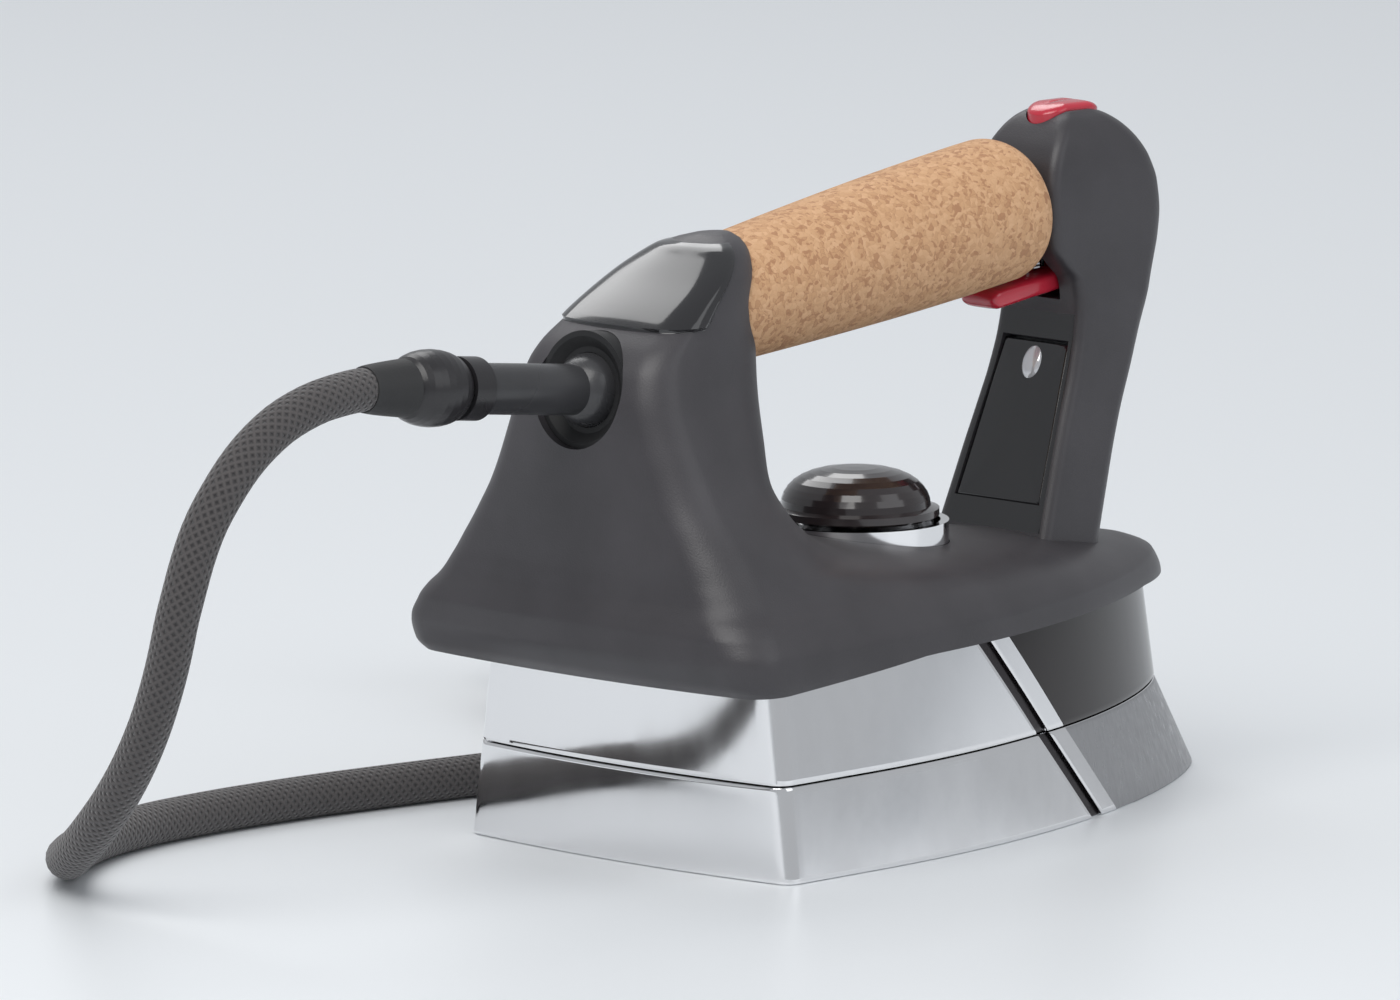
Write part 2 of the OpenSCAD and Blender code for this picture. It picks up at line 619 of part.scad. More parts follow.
arm_top = pivot_n + 1;
trigger_tip = grip_l - 13;
module trigger() color([0.78, 0.10, 0.16]) in_handle() difference() {
    union() {
        translate([trigger_tip, trigger_w / 2, pivot_n - 1.8]) rotate([90, 0, 0])
            cylinder(r = 2.8, h = trigger_w);
        box([trigger_tip, -trigger_w / 2, pivot_n - 4.6], [pivot_s, trigger_w / 2, arm_top]);
        translate([pivot_s, trigger_w / 2, pivot_n]) rotate([90, 0, 0]) cylinder(r = 4.6, h = trigger_w);
        box([pivot_s - 2, -3, pivot_n], [pivot_s + 2, 3, pivot_n + 11]);
    }
    translate([pivot_s, 20, pivot_n]) rotate([90, 0, 0]) cylinder(r = pin_r + run, h = 40);
}
module trigger_pin() color("silver") in_handle() translate([pivot_s, 14.2, pivot_n])
    rotate([90, 0, 0]) cylinder(r = pin_r, h = 28.4);
module trigger_switch() color("black") in_handle() {
    box([pivot_s + 5, -4, pivot_n - 1], [pivot_s + 10, 4, pivot_n + 12]);
    box([pivot_s + 3.2, -1.5, pivot_n + 7], [pivot_s + 5, 1.5, pivot_n + 10]);
}
module trigger_spring() color("silver") in_handle() translate([pivot_s - 11, 0, 0])
    tube_along(helix(2.2, 4, arm_top + 0.4, arm_top + 4.1), 0.35, 6, [1, 0, 0]);

// ---- Steam button ----

module steam_button() color([0.78, 0.10, 0.16]) {
    intersection() {
        button_slot(0, button_top - 7, button_top + 2);
        translate([button_x, 20, button_top - 26]) rotate([90, 0, 0]) cylinder(r = 26, h = 40);
    }
    translate([button_x, 0, button_top - 11.5]) cylinder(r = 2, h = 5);
}
module button_switch() color("black") translate([button_x, 0, 0]) {
    box([-6, -4, button_top - 29.5], [6, 4, button_top - 18]);
    translate([0, 0, button_top - 18]) cylinder(r = 1.4, h = 4);
}
module button_spring() color("silver") translate([button_x, 0, 0])
    tube_along(helix(3.2, 4, button_top - 17.4, button_top - 7.5), 0.35, 6, [1, 0, 0]);

// ---- Thermostat dial ----

module dial() color([0.06, 0.06, 0.07]) translate([dial_x, 0, dial_z]) difference() {
    rotate_extrude() polygon([
        [0, 0], [dial_r - 1.5, 0], [dial_r, 0.8], [dial_r, 2.6],
        for (a = [0:10:90]) [
            (dial_r - 2.2) * pow(cos(a), 0.7) * (a < 90 ? 1 : 0),
            3.2 + (dial_h - 3.2) * sin(a)
        ]
    ]);
    translate([0, 0, -1]) cylinder(r = shaft_r, h = 8);
}
module dial_seat() color("gainsboro") translate([dial_x, 0, 0]) difference() {
    translate([0, 0, 68]) cylinder(r = seat_r, h = dial_z - 0.5 - 68);
    translate([0, 0, 70.5]) tube(seat_r - 2.2, shaft_r + 3.5, 30);
    translate([0, 0, 60]) cylinder(r = shaft_r + run, h = 30);
}
module thermostat_shaft() color("silver") translate([dial_x, 0, plate_h + 7.4])
    cylinder(r = shaft_r, h = dial_z + 7 - plate_h - 7.4);

// ---- Hose swivel ----

socket_r = ball_r + 5.5;
socket_depth = 15;
module swivel_socket() color([0.10, 0.10, 0.10]) in_swivel() difference() {
    translate([0, 0, -socket_depth]) cylinder(r = socket_r, h = socket_depth + 3);
    sphere(r = ball_r + run);
    cylinder(r = ball_r + run, h = 20);
    translate([0, 0, 1]) cylinder(r1 = ball_r + 1.5, r2 = ball_r + 4.2, h = 2.1);
    translate([0, 0, -40]) cylinder(r = 3.2, h = 40);
    translate([0, 0, -socket_depth + 2.5]) cylinder(r = 6, h = 8);
}
module swivel_seal() color("darkslategray") in_swivel() translate([0, 0, -socket_depth + 2.5])
    tube(6, 3.2, socket_depth - 2.5 - ball_r);
module swivel_arm() color([0.30, 0.30, 0.31]) in_swivel() difference() {
    union() {
        sphere(r = ball_r);
        cylinder(r = stub_r, h = stub_l);
    }
    translate([0, 0, -20]) cylinder(r = 3.2, h = stub_l + 40);
}
module swivel_collar() color([0.12, 0.12, 0.12]) in_swivel() translate([0, 0, stub_l - 7])
    tube(stub_r + 1.6, stub_r, 6.8);
module swivel_knob() color([0.10, 0.10, 0.10]) in_swivel() translate([0, 0, stub_l]) difference() {
    rotate_extrude() polygon([
        [0, 0], [knob_r - 3, 0],
        for (a = [-60:15:60])
            [knob_r - 4 + 4 * cos(a), knob_l / 2 + (knob_l / 2 - 1) / sin(60) * sin(a)],
        [knob_r - 3, knob_l], [0, knob_l]
    ]);
    translate([0, 0, knob_l - 7]) cylinder(r = hose_d / 2 + 0.35, h = 10);
    translate([0, 0, -1]) cylinder(r = 3.2, h = 30);
}

// ---- Hose ----

module steam_hose() color([0.22, 0.21, 0.21]) tube_along(hose_route, hose_d / 2, 10);
coil_in = coil_r[0] - hose_d / 2;
coil_out = coil_r[1] + hose_d / 2;
module hose_coil() color([0.22, 0.21, 0.21]) translate([coil_at[0], coil_at[1], 0])
    rotate_extrude() polygon([
        [coil_in, tie_t + 2], [coil_in + 2, tie_t], [coil_out - 2, tie_t], [coil_out, tie_t + 2],
        [coil_out, coil_top - 2], [coil_out - 2, coil_top], [coil_in + 2, coil_top],
        [coil_in, coil_top - 2]
    ]);
// The last stretch rises off the coil and runs to the connector on top
function tail_point(a) =
    let (up = min(1, max(0, (a - tail_turn[0]) / 60)))
    let (lift = min(1, max(0, (a - tail_turn[1] + 50) / 45)))
    let (r = coil_r[1] + (tail_r - coil_r[1]) * up * up * (3 - 2 * up))
    [
        coil_at[0] + r * cos(a), coil_at[1] + r * sin(a),
        layer_z[1] + (tail_z - layer_z[1]) * up * up * (3 - 2 * up)
            + (rise_z - tail_z) * lift * lift * (3 - 2 * lift)
    ];
module hose_tail() color([0.22, 0.21, 0.21])
    tube_along([for (a = [tail_turn[0]:15.5:tail_turn[1]]) tail_point(a)], hose_d / 2, 10, [0, 0, 1]);
module hose_tie() color([0.12, 0.12, 0.13]) translate([coil_at[0], coil_at[1], 0]) rotate([0, 0, 200])
    difference() {
        box([coil_in - 0.7 - tie_t, -7, 0], [coil_out + tie_t, 7, coil_top + 0.1 + tie_t]);
        box([coil_in - 0.7, -8, tie_t], [coil_out, 8, coil_top + 0.1]);
    }

// The connector lies across the coil, along the tangent at its angle
module at_connector() translate(tail_point(connector_angle)) rotate([0, 0, connector_angle])
    rotate([-90, 0, 0]) children();
module hose_connector() color([0.15, 0.15, 0.16]) at_connector() difference() {
    union() {
        translate([0, 0, -2]) cylinder(r1 = 8, r2 = connector_r, h = 12);
        translate([0, 0, 10]) cylinder(r = connector_r, h = connector_l - 10);
    }
    translate([0, 0, -3]) cylinder(r = hose_d / 2, h = 8);
    translate([0, 0, connector_l - 9]) cylinder(r = connector_r - 2, h = 20);
}
module connector_spigot() color("goldenrod") at_connector() translate([0, 0, connector_l - 9])
    tube(3.5, 1.8, 15);
module connector_pins() color("gold") at_connector() for (a = [0:60:300]) rotate([0, 0, a])
    translate([6.2, 0, connector_l - 9]) cylinder(r = 0.9, h = 8);
module connector_ring() color("silver") at_connector() translate([0, 0, connector_l - 14])
    tube(connector_r + 1, connector_r, 5);

soleplate();
heating_element();
chamber_gasket();
chamber_cover();
chamber_screws();
steam_inlet();
thermostat();
thermal_fuse();
support_posts();
mounting_studs();
insulation_plate();
skirt();
nose_cover();
housing();
heel_panel();
terminal_block();
steam_pipe();
handle_wires();
core_flange();
handle_core();
cork_grip();
front_pillar();
pillar_cover();
pillar_screws();
indicator_lens();
indicator_lamp();
trigger();
trigger_pin();
trigger_spring();
trigger_switch();
steam_button();
button_spring();
button_switch();
dial();
dial_seat();
thermostat_shaft();
swivel_socket();
swivel_seal();
swivel_arm();
swivel_collar();
swivel_knob();
steam_hose();
hose_coil();
hose_tail();
hose_tie();
hose_connector();
connector_spigot();
connector_pins();
connector_ring();
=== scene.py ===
# %% [markdown]
# # A clothes iron with a cork grip
# The iron belongs to a steam ironing system: a polished soleplate, a dark plastic housing that
# climbs to a tall heel, a cork grip, a front pillar with a red trigger and a red steam button,
# and a textile steam hose. The mechanical model is loaded first, as a fixed frame in metres.
# Every surface below is worked out from the same sizes, so it lands where the model has it.

# %% Load the frame
import json
import math

import bpy
import numpy as np
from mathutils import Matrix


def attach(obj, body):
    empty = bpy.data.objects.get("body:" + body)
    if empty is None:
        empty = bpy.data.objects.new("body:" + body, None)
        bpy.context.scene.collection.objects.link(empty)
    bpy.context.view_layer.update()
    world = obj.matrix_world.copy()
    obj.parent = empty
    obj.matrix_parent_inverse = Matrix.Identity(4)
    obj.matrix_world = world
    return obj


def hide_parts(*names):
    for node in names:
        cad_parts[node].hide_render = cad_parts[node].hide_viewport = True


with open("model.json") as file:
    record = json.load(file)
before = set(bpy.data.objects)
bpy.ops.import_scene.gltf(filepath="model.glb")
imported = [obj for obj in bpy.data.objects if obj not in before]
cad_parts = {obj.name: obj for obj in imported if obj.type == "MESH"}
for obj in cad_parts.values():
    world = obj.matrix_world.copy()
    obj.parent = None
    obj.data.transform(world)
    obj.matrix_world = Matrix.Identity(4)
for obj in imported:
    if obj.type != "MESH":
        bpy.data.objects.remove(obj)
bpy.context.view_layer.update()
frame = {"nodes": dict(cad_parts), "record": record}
MM = 0.001

# %% [markdown]
# ## The camera
# A long lens from behind the iron's right rear corner keeps the verticals upright and shows the
# rear face, the whole right side and the hose as it leaves the swivel. The camera looks along
# a direction given by its bearing and its height angle, so both stay readable numbers.

# %% Camera
VIEW_BEARING = math.radians(44.0)
VIEW_HEIGHT = math.radians(8.8)
VIEW_DISTANCE = 4.5
VIEW_WIDTH = 0.36
LOOK_AT = np.array([-0.0385, 0.0395, 0.0805])

forward = np.array([
    math.cos(VIEW_HEIGHT) * math.cos(VIEW_BEARING),
    math.cos(VIEW_HEIGHT) * math.sin(VIEW_BEARING),
    -math.sin(VIEW_HEIGHT),
])
camera_data = bpy.data.cameras.new("camera")
camera = bpy.data.objects.new("camera", camera_data)
bpy.context.scene.collection.objects.link(camera)
camera.location = LOOK_AT - VIEW_DISTANCE * forward
camera.rotation_euler = (math.pi / 2 - VIEW_HEIGHT, 0, VIEW_BEARING - math.pi / 2)
camera_data.lens = camera_data.sensor_width * VIEW_DISTANCE / VIEW_WIDTH
camera_data.clip_end = 60
bpy.context.scene.camera = camera
print("lens", round(camera_data.lens), "mm")

# %% [markdown]
# ## Making meshes from grids
# A ring is a closed loop of points, and a stack of rings is a grid. Joining neighbours gives
# quads, and a fan at each end closes the shape. The signed volume says which way the faces
# look, so the whole grid can be turned over at once if it came out inside out.

# %% Grid to mesh
def skin(name, rings, finish, body="root", stands_for=(), sharp=38, along=None):
    """Closed surface through rings of shape (rings, points, 3).

    Faces: point j of ring i joins j + 1 and ring i + 1; a fan from the mean point closes each
    end. Volume is a sixth of the sum of a . (b x c) over the triangles: if it is negative, the
    rings are listed the other way. along gives the second texture coordinate of each ring.
    """
    rings = np.asarray(rings, float)
    n, m = rings.shape[:2]

    def faces_of(count_rings, count_points):
        i, j = np.meshgrid(np.arange(count_rings - 1), np.arange(count_points), indexing="ij")
        k = (j + 1) % count_points
        corners = [i * m + j, i * m + k, (i + 1) * m + k, (i + 1) * m + j]
        return np.stack(corners, -1).reshape(-1, 4)

    quads = faces_of(n, m)
    j = np.arange(m)
    low, high = n * m, n * m + 1
    ends = np.concatenate([
        np.stack([(j + 1) % m, j, np.full(m, low)], -1),
        np.stack([(n - 1) * m + j, (n - 1) * m + (j + 1) % m, np.full(m, high)], -1),
    ])
    points = np.concatenate([rings.reshape(-1, 3), rings[:1].mean(1), rings[-1:].mean(1)])
    triangles = np.concatenate([quads[:, [0, 1, 2]], quads[:, [0, 2, 3]], ends])
    a, b, c = (points[triangles[:, k]] for k in range(3))
    if np.einsum("ij,ij->i", a, np.cross(b, c)).sum() < 0:
        quads, ends = quads[:, ::-1], ends[:, ::-1]
    mesh = bpy.data.meshes.new(name)
    mesh.from_pydata(points.tolist(), [], quads.tolist() + ends.tolist())
    if along is not None:
        ring_of, point_of = quads // m, quads % m
        wrapped = (point_of == 0) & (point_of.max(1, keepdims=True) == m - 1)
        around = np.where(wrapped, m, point_of) / m
        flat = np.stack([around, np.asarray(along)[ring_of]], -1).reshape(-1, 2)
        tips = np.repeat(np.asarray(along)[[0, -1]], 3 * m)
        flat = np.concatenate([flat, np.stack([np.zeros(6 * m), tips], -1)])
        mesh.uv_layers.new(name="UVMap").data.foreach_set("uv", flat.ravel())
    return piece(name, mesh, finish, body, stands_for, sharp)


def piece(name, mesh, finish, body, stands_for, sharp):
    """Puts a mesh in the scene with its finish, its body and the nodes it stands for."""
    mesh.update()
    mesh.shade_smooth()
    mesh.set_sharp_from_angle(angle=math.radians(sharp))
    mesh.materials.append(finish)
    thing = bpy.data.objects.new(name, mesh)
    bpy.context.scene.collection.objects.link(thing)
    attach(thing, body)
    if stands_for:
        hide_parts(*stands_for)
    return thing


def through(x, xs, ys):
    """Smooth curve through the points (xs, ys) that never overshoots them.

    Each stretch is a cubic whose end slopes are the harmonic mean of its neighbours' slopes,
    or zero where the data turns round.
    """
    xs, ys = np.asarray(xs, float), np.asarray(ys, float)
    step = np.diff(xs)
    slope = np.diff(ys) / step
    same = slope[:-1] * slope[1:] > 0
    total = np.where(same, slope[:-1] + slope[1:], 1)
    inner = np.where(same, 2 * slope[:-1] * slope[1:] / total, 0)
    ends = np.concatenate([slope[:1], inner, slope[-1:]])
    i = np.clip(np.searchsorted(xs, x) - 1, 0, len(xs) - 2)
    t = (np.clip(x, xs[0], xs[-1]) - xs[i]) / step[i]
    return (
        (2 * t**3 - 3 * t**2 + 1) * ys[i] + (t**3 - 2 * t**2 + t) * step[i] * ends[i]
        + (3 * t**2 - 2 * t**3) * ys[i + 1] + (t**3 - t**2) * step[i] * ends[i + 1]
    )


def smooth(t):
    """Rises from 0 to 1 with level ends: 3t^2 - 2t^3."""
    t = np.clip(t, 0, 1)
    return t * t * (3 - 2 * t)


def cut(thing, cutters, sharp=38):
    """Takes closed cutters away from a piece, and keeps the plain result as its mesh."""
    for cutter in cutters:
        tool = thing.modifiers.new("cut", "BOOLEAN")
        tool.object, tool.operation, tool.solver = cutter, "DIFFERENCE", "EXACT"
    bpy.context.view_layer.update()
    made = thing.evaluated_get(bpy.context.evaluated_depsgraph_get())
    mesh = bpy.data.meshes.new_from_object(made)
    thing.modifiers.clear()
    thing.data = mesh
    mesh.shade_smooth()
    mesh.set_sharp_from_angle(angle=math.radians(sharp))
    for cutter in cutters:
        bpy.data.objects.remove(cutter)
    print(thing.name, "after cutting:", len(mesh.polygons), "faces")


def cutter(points, faces):
    """A closed helper shape whose faces are turned outwards, used only to cut."""
    mesh = bpy.data.meshes.new("cutter")
    mesh.from_pydata(np.asarray(points, float).tolist(), [], faces)
    thing = bpy.data.objects.new("cutter", mesh)
    bpy.context.scene.collection.objects.link(thing)
    return thing


def prism(outline, place, low, high):
    """Cutter with a flat outline (u, v) from low to high; place turns (u, v, w) into a point."""
    outline = np.asarray(outline, float)
    n = len(outline)
    area = np.cross(outline, np.roll(outline, -1, 0)).sum()
    if area < 0:
        outline = outline[::-1]
    w = np.repeat([low, high], n)[:, None]
    points = place(np.hstack([np.tile(outline, (2, 1)), w]))
    j = np.arange(n)
    k = (j + 1) % n
    sides = np.stack([j, k, k + n, j + n], -1).tolist()
    return cutter(points, sides + [j[::-1].tolist(), (j + n).tolist()])


def upright(points):
    """Leaves a prism's points as they are, so that it stands on its outline."""
    return points


def circle(radius, n=96):
    """Outline of n points: radius times (cos a, sin a)."""
    a = np.arange(n) * 2 * np.pi / n
    return radius * np.stack([np.cos(a), np.sin(a)], -1)


# %% [markdown]
# ## The places pieces are measured from
# The handle, the pillar and the swivel each have their own tilted axes. A small function takes
# distances along those axes and gives the point in the iron's own frame.

# %% Frames of the handle, pillar and swivel
GRIP_START = np.array([-79.0, 0, 139]) * MM
GRIP_RISE = math.radians(7.3)
PILLAR_BASE = np.array([29.0, 0, 71.5]) * MM
PILLAR_LEAN = math.radians(20.3)
BALL_AT = np.array([-119.0, 0, 121.8]) * MM
STUB_RISE = math.radians(6.5)


def along_axes(origin, first, third):
    """A function that turns distances along three axes into points; the second axis is y."""
    axes = np.array([first, (0, 1, 0), third], float)

    def place(u, v, w):
        return origin + np.stack(np.broadcast_arrays(u, v, w), -1) @ axes

    return place


def cos_sin(angle):
    return math.cos(angle), math.sin(angle)


# Handle: s along the grip, y to the left, n above its axis
c, d = cos_sin(GRIP_RISE)
on_handle = along_axes(GRIP_START, (c, 0, d), (-d, 0, c))
# Pillar: x into the pillar, y to the left, z up its leaning rear face
c, d = cos_sin(PILLAR_LEAN)
on_pillar = along_axes(PILLAR_BASE, (c, 0, -d), (d, 0, c))
# Stub: u and v across it, w along it from the ball's centre
c, d = cos_sin(STUB_RISE)
on_stub = along_axes(BALL_AT, (d, 0, c), (-c, 0, d))


def beside_handle(points):
    """Places a prism drawn across the grip's axis, with its height along the axis."""
    return on_handle(points[:, 2], points[:, 0], points[:, 1])


# %% [markdown]
# ## Finishes
# Each finish is one Principled surface. Whatever is the same all over is a number on its own
# socket. What varies is a texture in object coordinates, so a pattern has its real size on
# every piece: noise for moulded grain, cells for cork, and crossed waves for woven fabric.

# %% Finish helpers
def finish(name, colour, rough, metal=0.0, coat=0.0, coat_rough=0.05):
    """A Principled material with the given values, and its nodes for adding texture."""
    made = bpy.data.materials.new(name)
    made.use_nodes = True
    values = {"Base Color": (*colour, 1), "Roughness": rough, "Metallic": metal,
              "Coat Weight": coat, "Coat Roughness": coat_rough}
    for socket, value in values.items():
        made.node_tree.nodes["Principled BSDF"].inputs[socket].default_value = value
    return made


def node(made, kind, **values):
    """Adds a node; values with the name of an input set it, and the others are settings."""
    new = made.node_tree.nodes.new(kind)
    for key, value in values.items():
        label = key.replace("_", " ").title()
        if label in new.inputs:
            new.inputs[label].default_value = value
        else:
            setattr(new, key, value)
    return new


def link(made, source, target):
    made.node_tree.links.new(source, target)


def surface_of(made):
    return made.node_tree.nodes["Principled BSDF"]


def combine(made, operation, *values):
    """Math node: a socket among the values is linked to it, and a number is set."""
    new = node(made, "ShaderNodeMath", operation=operation)
    for socket, value in zip(new.inputs, values):
        if isinstance(value, (int, float)):
            socket.default_value = value
        else:
            link(made, value, socket)
    return new.outputs["Value"]


def noise(made, scale, detail=2.0, stretch=(1, 1, 1)):
    """Noise with about `scale` lumps to the metre, drawn out along an axis by stretch."""
    place = node(made, "ShaderNodeTexCoord")
    size = node(made, "ShaderNodeMapping", scale=stretch)
    texture = node(made, "ShaderNodeTexNoise", scale=scale, detail=detail)
    link(made, place.outputs["Object"], size.inputs["Vector"])
    link(made, size.outputs["Vector"], texture.inputs["Vector"])
    return texture.outputs["Fac"]


def spread(made, value, low, high, start=0.3, stop=0.7):
    """Maps a texture's start to stop range onto low to high."""
    ramp = node(made, "ShaderNodeMapRange", from_min=start, from_max=stop, to_min=low,
                to_max=high)
    link(made, value, ramp.inputs["Value"])
    return ramp.outputs["Result"]


def relief(made, height, depth, strength=1.0):
    """Bump whose height difference is `depth` metres; a second call stacks on the first."""
    bump = node(made, "ShaderNodeBump", strength=strength, distance=depth)
    link(made, height, bump.inputs["Height"])
    normal = surface_of(made).inputs["Normal"]
    if normal.is_linked:
        link(made, normal.links[0].from_socket, bump.inputs["Normal"])
    link(made, bump.outputs["Normal"], normal)


def colours(made, value, stops):
    """Colour ramp from (position, colour) stops into the base colour."""
    ramp = node(made, "ShaderNodeValToRGB")
    band = ramp.color_ramp
    while len(band.elements) < len(stops):
        band.elements.new(0.5)
    for element, (position, colour) in zip(band.elements, stops):
        element.position = position
        element.color = (*colour, 1)
    link(made, value, ramp.inputs["Fac"])
    link(made, ramp.outputs["Color"], surface_of(made).inputs["Base Color"])


# %% [markdown]
# ### Metals
# The soleplate and its skirt are polished and chromed, so they mirror a pale room. A faint
# change of roughness and a very shallow ripple keep the mirror from looking computed. Screws
# and posts are duller steel with fine turning marks.

# %% Metal finishes
def metal(name, colour, rough, marks, depth, stretch=(1, 1, 1)):
    made = finish(name, colour, rough, metal=1.0)
    fine = noise(made, marks, 3.0, stretch)
    link(made, spread(made, fine, rough * 0.7, rough * 1.5), surface_of(made).inputs["Roughness"])
    relief(made, fine, depth)
    return made


chrome = metal("polished_chrome", (0.86, 0.86, 0.87), 0.075, 60, 0.00002, (1, 1, 0.5))
# The nose casting's darker metal colour is a painted reflection; the stretched, rougher grain is
# its brushing.
nose_brushed_painted_reflection = metal("brushed_casting_painted_reflection", (0.40, 0.40, 0.41), 0.34, 900, 0.00002, (1, 1, 0.06))
steel = metal("turned_steel", (0.50, 0.50, 0.52), 0.32, 1500, 0.00001, (1, 1, 0.1))
bright = metal("bright_steel", (0.72, 0.72, 0.73), 0.18, 900, 0.00001, (0.1, 1, 1))
brass = metal("plain_brass", (0.72, 0.50, 0.20), 0.26, 1200, 0.00001)
# Near-black metal for the groove's walls: painted shade, standing for the shadow in the groove.
groove_painted_shade = metal("painted_shade_groove_metal", (0.05, 0.045, 0.048), 0.22, 300, 0.00001)

# %% [markdown]
# ### Plastics and rubber
# The housing is a satin charcoal plastic: a fine spark-eroded grain scatters the light, and
# soft patches a few centimetres wide are a little shinier where hands have rubbed it. Gloss
# parts have a clear, sharp reflection with a trace of orange peel.

# %% Plastic finishes
def moulded(name, colour, rough, grain, depth, coat=0.0, patch=0.12):
    """Plastic: grain lumps to the metre set the bump, wide patches vary the roughness."""
    made = finish(name, colour, rough, coat=coat)
    wide = noise(made, 26, 3.0)
    link(made, spread(made, wide, rough * (1 - patch), rough * (1 + patch)),
         surface_of(made).inputs["Roughness"])
    lift = [(0.35, tuple(0.90 * c for c in colour)), (0.68, tuple(1.12 * c for c in colour))]
    colours(made, noise(made, 45, 4.0), lift)
    relief(made, noise(made, grain, 2.0), depth)
    return made


satin = moulded("charcoal_satin_plastic", (0.046, 0.043, 0.048), 0.42, 2200, 0.00006)
stub_grey = moulded("grey_satin_plastic", (0.042, 0.042, 0.045), 0.27, 2200, 0.00003)
gloss = moulded("black_gloss_plastic", (0.010, 0.0095, 0.011), 0.13, 260, 0.00001, coat=0.6)
dial_gloss = moulded("dial_gloss_plastic", (0.022, 0.016, 0.017), 0.16, 260, 0.00001, coat=0.5)
knob_black = moulded("black_satin_plastic", (0.020, 0.019, 0.021), 0.30, 1600, 0.00003)
recess_black = moulded("black_matt_plastic", (0.009, 0.009, 0.010), 0.62, 1600, 0.00003)
window = moulded("nose_gloss_plastic", (0.014, 0.010, 0.010), 0.10, 120, 0.00002)
surface_of(window).inputs["Specular IOR Level"].default_value = 0.30
red = moulded("red_gloss_plastic", (0.50, 0.018, 0.040), 0.22, 420, 0.00001, coat=0.5)
white = moulded("white_plastic", (0.78, 0.77, 0.73), 0.40, 1200, 0.00003)
board = moulded("pressed_insulation", (0.42, 0.33, 0.20), 0.85, 700, 0.00012)
gasket = moulded("red_silicone", (0.30, 0.035, 0.025), 0.55, 900, 0.00005)
rubber = moulded("black_rubber", (0.022, 0.022, 0.023), 0.62, 1400, 0.00006)
tube_white = moulded("clear_silicone", (0.68, 0.68, 0.64), 0.30, 500, 0.00003)
glass = finish("silver_lens", (0.74, 0.75, 0.78), 0.10, metal=0.35, coat=1.0)
relief(glass, noise(glass, 500), 0.00002)

# %% [markdown]
# ### Cork
# Pressed cork is a crowd of granules two to three millimetres across, glued together and
# turned. Cells of a Voronoi texture give each granule its own shade, finer cells add the
# flecks of bark, and the gaps between granules are dark and slightly sunk.

# %% Cork finish
cork = finish("pressed_cork", (0.55, 0.34, 0.20), 0.78)
place = node(cork, "ShaderNodeTexCoord")
wobble = node(cork, "ShaderNodeTexNoise", scale=260.0, detail=3.0)
shift = node(cork, "ShaderNodeVectorMath", operation="MULTIPLY_ADD")
shift.inputs[1].default_value = (0.0035, 0.0035, 0.0035)
link(cork, place.outputs["Object"], wobble.inputs["Vector"])
link(cork, wobble.outputs["Color"], shift.inputs[0])
link(cork, place.outputs["Object"], shift.inputs[2])
granule = node(cork, "ShaderNodeTexVoronoi", scale=720.0)
fleck = node(cork, "ShaderNodeTexVoronoi", scale=1200.0)
gaps = node(cork, "ShaderNodeTexVoronoi", feature="DISTANCE_TO_EDGE", scale=720.0)
for cells in (granule, fleck, gaps):
    link(cork, shift.outputs["Vector"], cells.inputs["Vector"])
shade = node(cork, "ShaderNodeSeparateColor")
link(cork, granule.outputs["Color"], shade.inputs["Color"])
bark = node(cork, "ShaderNodeSeparateColor")
link(cork, fleck.outputs["Color"], bark.inputs["Color"])
dark = combine(cork, "GREATER_THAN", bark.outputs["Red"], 0.93)
sunk = spread(cork, gaps.outputs["Distance"], 0.28, 0.0, 0.0, 0.09)
less = combine(cork, "MULTIPLY_ADD", dark, -0.55, shade.outputs["Red"])
colours(cork, combine(cork, "SUBTRACT", less, sunk), [
    (0.0, (0.42, 0.215, 0.11)), (0.14, (0.53, 0.30, 0.155)),
    (0.50, (0.59, 0.345, 0.185)), (1.0, (0.65, 0.395, 0.225)),
])
relief(cork, gaps.outputs["Distance"], 0.0004, 0.5)
relief(cork, noise(cork, 1500, 3.0), 0.0001, 0.6)

# %% [markdown]
# ### Braided textile and strap
# The hose wears a braided cover. Its texture coordinates run once around the hose and in
# metres along it, so two families of slanted waves cross as the yarns do; the higher wave at
# each point is the yarn on top. The strap is a plain weave at half a millimetre.

# %% Woven finishes
def braid(name, colour, yarn_top_painted_highlight, around, per_metre, pitch):
    """Height is the larger of |sin(a + b)| and |sin(a - b)|: a counts round, b counts along."""
    made = finish(name, colour, 0.86)
    surface_of(made).inputs["Sheen Weight"].default_value = 0.25
    surface_of(made).inputs["Sheen Roughness"].default_value = 0.5
    uv = node(made, "ShaderNodeTexCoord")
    parts = node(made, "ShaderNodeSeparateXYZ")
    link(made, uv.outputs["UV"], parts.inputs["Vector"])
    waves = []
    for sign in (1, -1):
        turn = combine(made, "MULTIPLY", parts.outputs["X"], math.pi * around)
        run = combine(made, "MULTIPLY_ADD", parts.outputs["Y"], sign * math.pi * per_metre, turn)
        waves.append(combine(made, "ABSOLUTE", combine(made, "SINE", run)))
    top = combine(made, "MAXIMUM", *waves)
    # Yarn tops are painted lighter and the hollows darker: painted highlight and shade on the
    # braid.
    colours(made, top, [(0.45, colour), (0.98, yarn_top_painted_highlight)])
    relief(made, top, pitch * 0.35, 0.8)
    relief(made, noise(made, 3500, 2.0), 0.0001, 0.5)
    return made


hose_cover = braid("braided_hose_cover", (0.026, 0.024, 0.025), (0.075, 0.068, 0.068), 14, 400,
                   0.0018)

